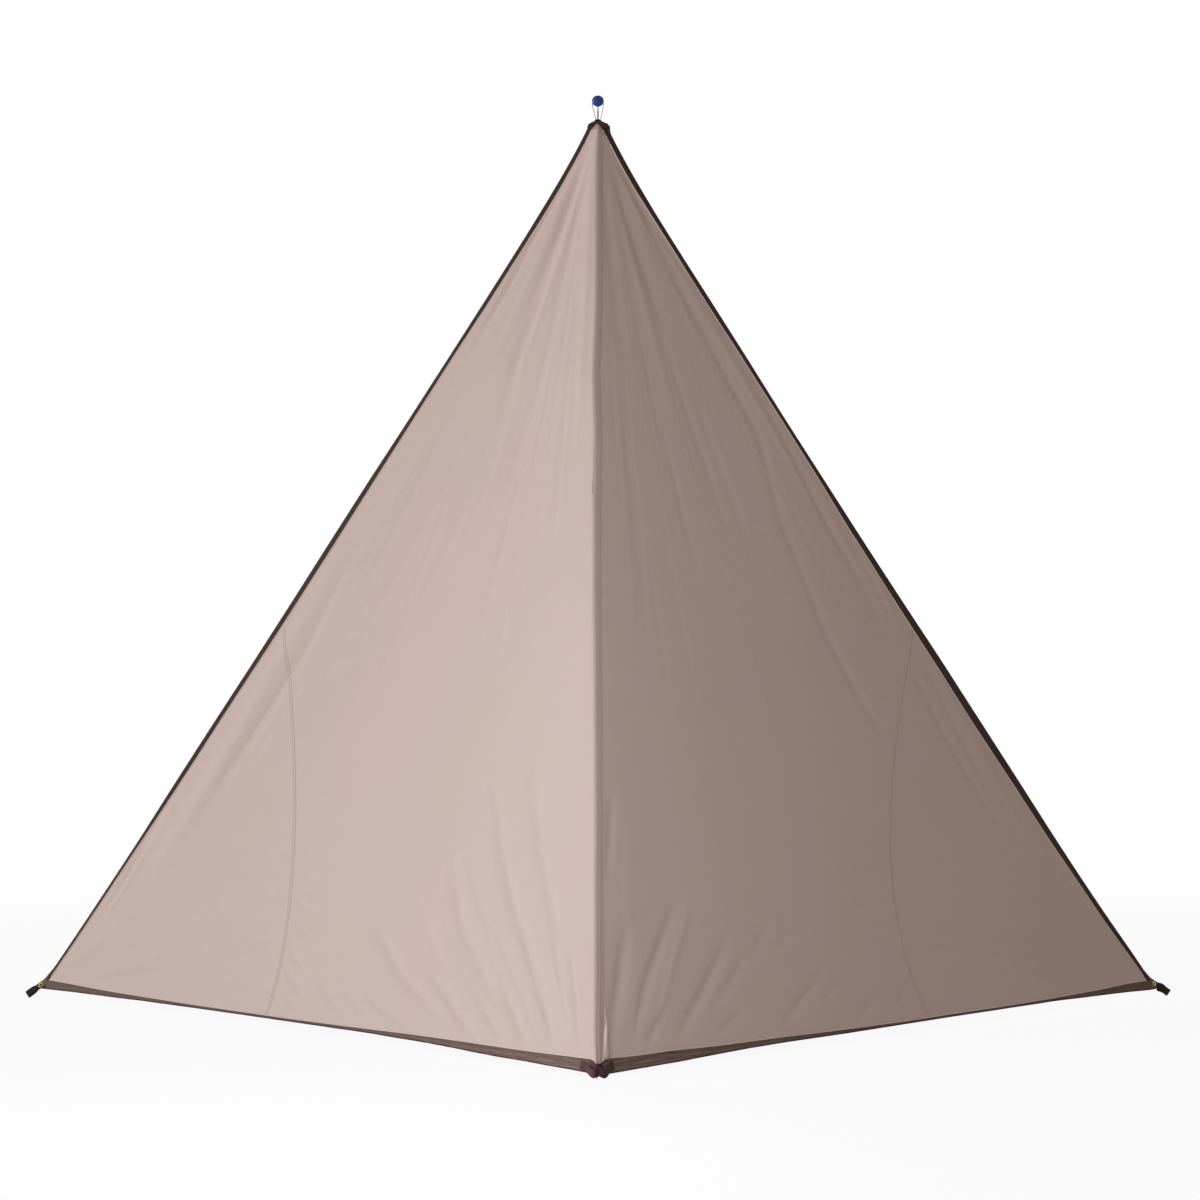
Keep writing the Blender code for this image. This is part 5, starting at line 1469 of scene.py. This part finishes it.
def frontSections():
    look = frontLoop
    lift = pitch["layer"] / 2 + 2 * clearance + cornerPatch["thickness"] + look["thickness"] / 2
    upright = unit(np.array([0, -0.15, -1]))
    sections = []
    for side in (-1, 1):
        half = [(hemPoint(side, one(along / hemLength), one(down), lift)[0], hemDown(side))
                for along, down in look["legs"][side]]
        half += [(np.array(spot), upright) for spot in look["lobes"][side]]
        sections.append(half)
    middle = (np.array(look["pinch"]), upright)
    return sections[0] + [middle] + sections[1][::-1]


def through(points, share):
    points = np.array(points)
    last = len(points) - 1
    spot = np.clip(share * last, 0, last - 1e-9)
    k = spot.astype(int)
    t = (spot - k)[:, None]
    a, b = points[k], points[k + 1]
    leave = (b - points[np.maximum(k - 1, 0)]) / 2
    arrive = (points[np.minimum(k + 2, last)] - a) / 2
    return (a * (2 * t ** 3 - 3 * t ** 2 + 1) + leave * (t ** 3 - 2 * t ** 2 + t)
            + b * (3 * t ** 2 - 2 * t ** 3) + arrive * (t ** 3 - t ** 2))


def frontLoopPlace(s, t):
    sections = frontSections()
    centre = through([p for p, w in sections], t)
    wide = units(through([w for p, w in sections], t))
    points = centre + wide * ((2 * s - 1) * frontLoop["width"] / 2)[:, None]
    return points, np.stack([(s - 0.5) * frontLoop["width"], t * 0.16], 1)


frontRibbon = clothPiece("frontPegLoop", frontLoop, frontLoopPlace, None, [redRibbon],
                         ["front_peg_loop"])


def frontPatchPlace(s, t):
    look = frontPatch
    lift = pitch["layer"] / 2 + clearance + cornerPatch["thickness"] / 2
    down = mix(look["inset"], hem["width"] - look["inset"], t)
    offset = (2 * s - 1) * look["half"]
    reach = np.maximum(np.abs(offset), 0.0002) / hemLength
    points = np.where((offset < 0)[:, None], hemPoint(-1, reach, down, lift),
                      hemPoint(1, reach, down, lift))
    middle = hemPoint(1, np.zeros(len(s)), down) + forward * lift / (forward @ panelNormal(1))
    closeness = np.exp(-(offset / look["point"]) ** 2)
    return mix(points, middle, closeness[:, None]), np.stack([offset, down], 1)


frontCover = clothPiece("frontCornerPatch", frontPatch, frontPatchPlace, forward, [redRibbon],
                        ["front_corner_patch"])
canopy[-1]["trim"] += [frontRibbon, frontCover]
print("front corner ready")


# apex: webbing saddle, grommet, ring, ball cap and its cords

apex = {
    "stack": 0.0020,          # what the grommet holds together
    "depth": 0.024,
    "half": 0.0260,
    "foldTurn": 0.0085,       # its front edge stands this much further in
    "foldFrom": (0.0245, 0.007),
    # the strap's own line, across and down from its level part
    "line": [(-0.0274, 0.0112), (-0.0266, 0.0072), (-0.0240, 0.0036), (-0.0200, 0.0014),
             (-0.0120, 0.0), (0.0, 0.0), (0.0120, 0.0), (0.0200, 0.0012), (0.0265, 0.0028),
             (0.0295, 0.0042), (0.0312, 0.0066), (0.0320, 0.0120), (0.0326, 0.0200),
             (0.0335, 0.0262)],
    "crown": 0.0030,          # half width that stays level around the grommet
    "cup": 0.0085,            # how far the front edge hangs over the panels' tops
    "cupCurve": 1.6,
    "cupBehind": 0.05,        # share of it at the back edge
    "thickness": 0.0018,
    "bevel": 0.0004,
    "cells": (14, 60),
}
washerTop = pitch["poleLength"] + clearance + grommet["sheet"]
saddleLevel = washerTop + clearance + apex["stack"] / 2
apexFrame = Matrix.Translation((0, 0, saddleLevel))
skyward = np.array([0, 0, 1])


def saddlePlace(s, t):
    look = apex
    flat = through([(x, 0, saddleLevel - drop) for x, drop in look["line"]], t)
    points = flat + np.array([0, 1, 0]) * ((s - 0.5) * look["depth"])[:, None]
    away = smooth((np.abs(flat[:, 0]) - look["crown"]) / (look["half"] - look["crown"]))
    start, growth = look["foldFrom"]
    points[:, 0] -= look["foldTurn"] * (1 - s) * smooth((flat[:, 0] - start) / growth)
    cup = look["cup"] * away * np.abs(2 * s - 1) ** look["cupCurve"]
    points[:, 2] -= cup * np.where(s < 0.5, 1.0, look["cupBehind"])
    return points, np.stack([(s - 0.5) * look["depth"], t * 0.08], 1)


saddle = clothPiece("apexSaddle", apex, saddlePlace, skyward, [binding],
                    ["apex_saddle"], poleBody, (apexFrame, boreRadius))
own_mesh(saddle)    # a mesh of its own

apexPad = {
    "top": [(-0.0248, 2.4002), (-0.0170, 2.4044), (-0.0080, 2.4086), (0.0080, 2.4086),
            (0.0170, 2.4044), (0.0260, 2.4012)],
    "edgeDrop": 0.003,
    "depth": 0.96,            # share of the strap's
    "hole": 0.0100,
    "thickness": 0.0016,
    "bevel": 0.0004,
    "cells": (12, 40),
}


def padPlace(s, t):
    look = apexPad
    x = mix(look["top"][0][0], look["top"][-1][0], t)
    z = follow(look["top"], x, 81) - look["thickness"] / 2 - look["edgeDrop"] * (2 * s - 1) ** 2
    y = (s - 0.5) * apex["depth"] * look["depth"]
    return np.stack([x, y, z], 1), np.stack([y, x], 1)


pad = clothPiece("apexPad", apexPad, padPlace, skyward, [binding], (), poleBody,
                 (apexFrame, apexPad["hole"]))
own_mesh(pad)

# the strap's front lip lies over the tops of the panels
lip = {"left": -0.0240, "right": 0.0270, "middle": -0.0027, "arch": 64.8, "rise": 2.3986,
       "lowest": 2.3850, "top": 2.4046, "front": -0.0156, "lift": 0.0040, "least": 0.002,
       "crest": 0.002, "thickness": 0.0014, "bevel": 0.0003, "cells": (16, 60)}


def lipPlace(s, t):
    x = mix(lip["left"], lip["right"], t)
    foot = np.maximum(lip["rise"] - lip["arch"] * (x - lip["middle"]) ** 2, lip["lowest"])
    away = smooth((np.abs(x) - apex["crown"]) / (apex["half"] - apex["crown"]))
    top = lip["top"] - apex["cup"] * away
    z = mix(foot, np.maximum(top, foot + lip["least"]), s)
    normal = panelNormal(1)
    out = normal[0] * np.hypot(x, lip["crest"]) + normal[2] * (z - ridgeTop[2])
    y = ridgeTop[1] - out / normal[1]
    y = mix(y - lip["lift"], np.minimum(y - lip["lift"], lip["front"]), smooth(s * 1.4))
    return np.stack([x, y, z], 1), np.stack([z, x], 1)


lipPiece = clothPiece("apexLip", lip, lipPlace, np.array([0, -1, 0]), [binding])
canopy[-1]["trim"].append(lipPiece)
for name, profile, node in (("apexGrommet", eyeletProfile, "apex_grommet"),
                            ("apexGrommetWasher", washerProfile, "apex_grommet_washer")):
    brassPiece(name, profile(apex["stack"] / 2), apexFrame, node, poleBody)

ball = {
    # half of its outline, from the neck to the top
    "outline": [(0.0034, -0.0149), (0.0068, -0.0132), (0.0103, -0.0112), (0.0133, -0.0088),
                (0.0154, -0.0046), (0.0160, 0.0004), (0.0155, 0.0046), (0.0136, 0.0086),
                (0.0108, 0.0115), (0.0072, 0.0138), (0.0, 0.0153)],
    "side": 0.0143,
    "height": 0.0613,
    "socket": 0.0028,
    "mouth": 0.0142,
    "spikeHeight": 0.0530,
    "cordDrop": 0.0074,
    "cordHole": 0.0016,
    "groove": 0.00035,
    "rings": 9,
    "steps": 72,
}
ballCentre = pitch["poleLength"] + ball["height"]
floorOfSocket = pitch["poleLength"] + ball["spikeHeight"] + clearance


def ballProfile():
    look = ball
    profile = [(look["socket"], floorOfSocket), (look["socket"], ballCentre - look["mouth"])]
    line = through([(r, 0, z) for r, z in look["outline"]], np.linspace(0, 1, 90))
    for k, (r, _, z) in enumerate(line):
        cut = look["groove"] * (0.5 - 0.5 * math.cos(k / 89 * look["rings"] * 2 * math.pi))
        profile.append((max(r - cut * min(r / 0.010, 1.0), 0.0), ballCentre + z))
    return profile + [(0.0, floorOfSocket)]


ballCap = turnedPiece("ballCap", ballProfile(), ball["steps"])
cordFrame = Matrix.Translation((0, 0, ballCentre - ball["cordDrop"]))
cordFrame = cordFrame @ Matrix.Rotation(math.pi / 2, 4, "Y")
boreThrough(ballCap, cordFrame, ball["cordHole"], 0.05, 20)
dress(ballCap, bluePlastic)
fasten(ballCap, ["ball_cap"], "ball_cap")

ring = {"inner": 0.0028, "radius": 0.0095, "height": 0.0070, "coils": 3, "bulge": 0.0011,
        "taper": 0.0025}
ringLow = saddleLevel + apex["stack"] / 2 + 2 * clearance + grommet["sheet"] * 1.4
ringHigh = ringLow + ring["height"]


def ringProfile():
    outside = []
    for share in np.linspace(0, 1, 40):
        bulge = abs(math.sin(share * math.pi * ring["coils"])) ** 0.6
        radius = mix(ring["radius"], ring["radius"] - ring["taper"], smooth((share - 0.55) / 0.45))
        outside.append((radius - ring["bulge"] + ring["bulge"] * bulge,
                        mix(ringLow, ringHigh, share)))
    return [(ring["inner"], ringLow), *outside, (ring["inner"], ringHigh)]


spikeRing = turnedPiece("spikeRing", ringProfile(), 48)
dress(spikeRing, ribbon)
fasten(spikeRing, ["spike_ring"], poleBody)

cord = {"radius": 0.0010, "foot": {-1: 0.0056, 1: 0.0076}, "bend": 1.6, "strands": 3,
        "strandDepth": 0.10, "fill": 0.95, "twist": 140, "cells": (18, 260)}


def cordRoute():
    level = ballCentre - ball["cordDrop"]
    sideX = ball["side"] + cord["radius"] * 0.9
    foot = ringHigh + clearance
    bend = level - cord["radius"] * cord["bend"]

    def half(start):
        return [
            (start, foot),
            (mix(start, sideX, 0.5), mix(foot, bend, 0.5)),
            (sideX, bend),
            (sideX - cord["radius"] * cord["bend"], level),
            (sideX * 0.5, level),
        ]
    left = [(-x, 0, z) for x, z in half(cord["foot"][-1])]
    right = [(x, 0, z) for x, z in reversed(half(cord["foot"][1]))]
    return left + [(0, 0, level)] + right


def cordPlace(s, t):
    route = cordRoute()
    centre = through(route, t)
    ahead = through(route, np.minimum(t + 0.002, 1))
    behind = through(route, np.maximum(t - 0.002, 0))
    way = units(ahead - behind)
    across = np.broadcast_to(np.array([0.0, 1.0, 0.0]), way.shape)
    upright = np.cross(way, across)
    angle = s * 2 * math.pi
    strand = 1 + cord["strandDepth"] * np.cos(cord["strands"] * (angle - t * cord["twist"]))
    radius = cord["radius"] * cord["fill"] * strand
    aside, above = np.cos(angle) * radius, np.sin(angle) * radius
    points = centre + across * aside[:, None] + upright * above[:, None]
    return points, np.stack([s * 0.006, t * 0.15], 1)


ballCord = gridPiece("ballCord", *cord["cells"], cordPlace)
bpy.ops.object.mode_set(mode="EDIT")
bpy.ops.mesh.select_all(action="SELECT")
bpy.ops.mesh.remove_doubles(threshold=0.000005)
bpy.ops.mesh.select_all(action="DESELECT")
bpy.ops.mesh.select_non_manifold()
bpy.ops.mesh.edge_face_add()
bpy.ops.mesh.select_all(action="SELECT")
bpy.ops.mesh.normals_make_consistent(inside=False)
bpy.ops.object.mode_set(mode="OBJECT")
bpy.ops.object.shade_smooth_by_angle(angle=math.radians(60))
dress(ballCord, cordPaint)
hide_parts("ball_cord")
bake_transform(ballCord)
print("apex ready")


# pole and clamp keep their solids

for node, paint in {
        "pole_lower_tube": aluminium, "pole_upper_tube": aluminium, "pole_foot_cap": rubber,
        "pole_guide_bush": blackPlastic, "pole_top_plug": blackPlastic, "pole_spike": bronze,
        "clamp_collar": blackPlastic, "clamp_bolt": steel, "clamp_nut": steel,
        "clamp_lever_pin": steel, "clamp_lever": greyPlastic}.items():
    dress(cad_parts[node], paint)
print("pole ready")


# each side's label and trim pieces are read here, and nothing more is done with them

for side in (-1, 1):
    label, trim = canopy[side]["label"], canopy[side]["trim"]


# camera, light and floor

view = {"place": (0.0057, -9.15, 1.127), "lens": 102.63, "sensor": 36, "reach": 100}
bpy.ops.object.select_all(action="DESELECT")
bpy.ops.object.camera_add(location=view["place"], rotation=(math.pi / 2, 0, 0))
camera = bpy.context.active_object
camera.data.lens = view["lens"]
camera.data.sensor_width = view["sensor"]
camera.data.clip_end = view["reach"]
bpy.context.scene.camera = camera


lamps = {
    "left": {"place": (-14.34, 3.89, 3.0), "target": (0.0, -0.5, 0.8), "size": 2.6,
             "watts": 1220, "colour": (0.96, 1.0, 1.03)},
    "front": {"place": (-0.60, -2.72, 1.6), "target": (0.0, -0.5, 0.8), "size": 1.4,
              "watts": 25.5, "colour": (0.93, 1.0, 1.06)},
    "frontLeft": {"place": (-2.40, -3.40, 0.8), "target": (0.0, -0.5, 0.6), "size": 1.4,
                  "watts": 21, "colour": (0.93, 1.0, 1.06)},
}


def softLamp(name, place, target, size, watts, colour):
    bpy.ops.object.select_all(action="DESELECT")
    bpy.ops.object.light_add(type="AREA", location=place)
    lamp = bpy.context.active_object
    lamp.name = name
    lamp.data.shape = "RECTANGLE"
    lamp.data.size = lamp.data.size_y = size
    lamp.data.energy = watts
    lamp.data.color = colour
    lamp.rotation_euler = (Vector(target) - Vector(place)).to_track_quat("-Z", "Y").to_euler()
    lamp.visible_camera = False


for name, look in lamps.items():
    softLamp(name, **look)

# the floor takes shadows, and the camera sees it white
ground = {"size": 60, "level": -0.0006, "colour": (0.82, 0.82, 0.82), "roughness": 0.9,
          "gloss": 0.1, "near": 0.92, "far": 0.08, "fade": (0.22, 0.60)}
bpy.ops.object.select_all(action="DESELECT")
bpy.ops.mesh.primitive_plane_add(size=ground["size"], location=(0, 0, ground["level"]))
floor = bpy.context.active_object
floor.name = "floor"
floorPaint = Paint("pale floor", {"Base Color": (*ground["colour"], 1),
                                  "Roughness": ground["roughness"],
                                  "Specular IOR Level": ground["gloss"]})
seen = [floorPaint.node("LightPath", output=f"Is {kind} Ray")
        for kind in ("Camera", "Glossy", "Transmission")]
seen = floorPaint.math("MAXIMUM", seen[0], floorPaint.math("MAXIMUM", seen[1], seen[2]))
away = floorPaint.node("VectorMath", {"operation": "LENGTH"}, {0: floorPaint.place()}, "Value")
glow = floorPaint.node("Emission", None, {"Color": (1, 1, 1, 1), "Strength": 1.0})
both = floorPaint.node("MixShader", None, {
    0: seen * (ground["near"] + floorPaint.ramp(away * 0.1, *ground["fade"]) * ground["far"]),
    1: Wire(floorPaint, floorPaint.shader.outputs[0]), 2: glow})
floorOutput = floorPaint.tree.nodes["Material Output"]
floorPaint.tree.links.new(both.socket, floorOutput.inputs["Surface"])
dress(floor, floorPaint.material)

# warm light from all sides; the camera sees white
sky = {"colour": (1.0, 0.91, 0.83), "strength": 0.385}
world = bpy.data.worlds.new("studio")
world.use_nodes = True
bpy.context.scene.world = world
tree = world.node_tree
warm = tree.nodes["Background"]
warm.inputs["Color"].default_value = (*sky["colour"], 1)
warm.inputs["Strength"].default_value = sky["strength"]
white = tree.nodes.new("ShaderNodeBackground")
white.inputs["Color"].default_value = (1, 1, 1, 1)
white.inputs["Strength"].default_value = 1.0
path = tree.nodes.new("ShaderNodeLightPath")
seen = path.outputs["Is Camera Ray"]
for kind in ("Glossy", "Transmission"):
    either = tree.nodes.new("ShaderNodeMath")
    either.operation = "MAXIMUM"
    tree.links.new(seen, either.inputs[0])
    tree.links.new(path.outputs[f"Is {kind} Ray"], either.inputs[1])
    seen = either.outputs[0]
blendSky = tree.nodes.new("ShaderNodeMixShader")
tree.links.new(seen, blendSky.inputs[0])
tree.links.new(warm.outputs[0], blendSky.inputs[1])
tree.links.new(white.outputs[0], blendSky.inputs[2])
tree.links.new(blendSky.outputs[0], tree.nodes["World Output"].inputs["Surface"])

bpy.context.scene.view_settings.view_transform = "Standard"
print("studio ready")
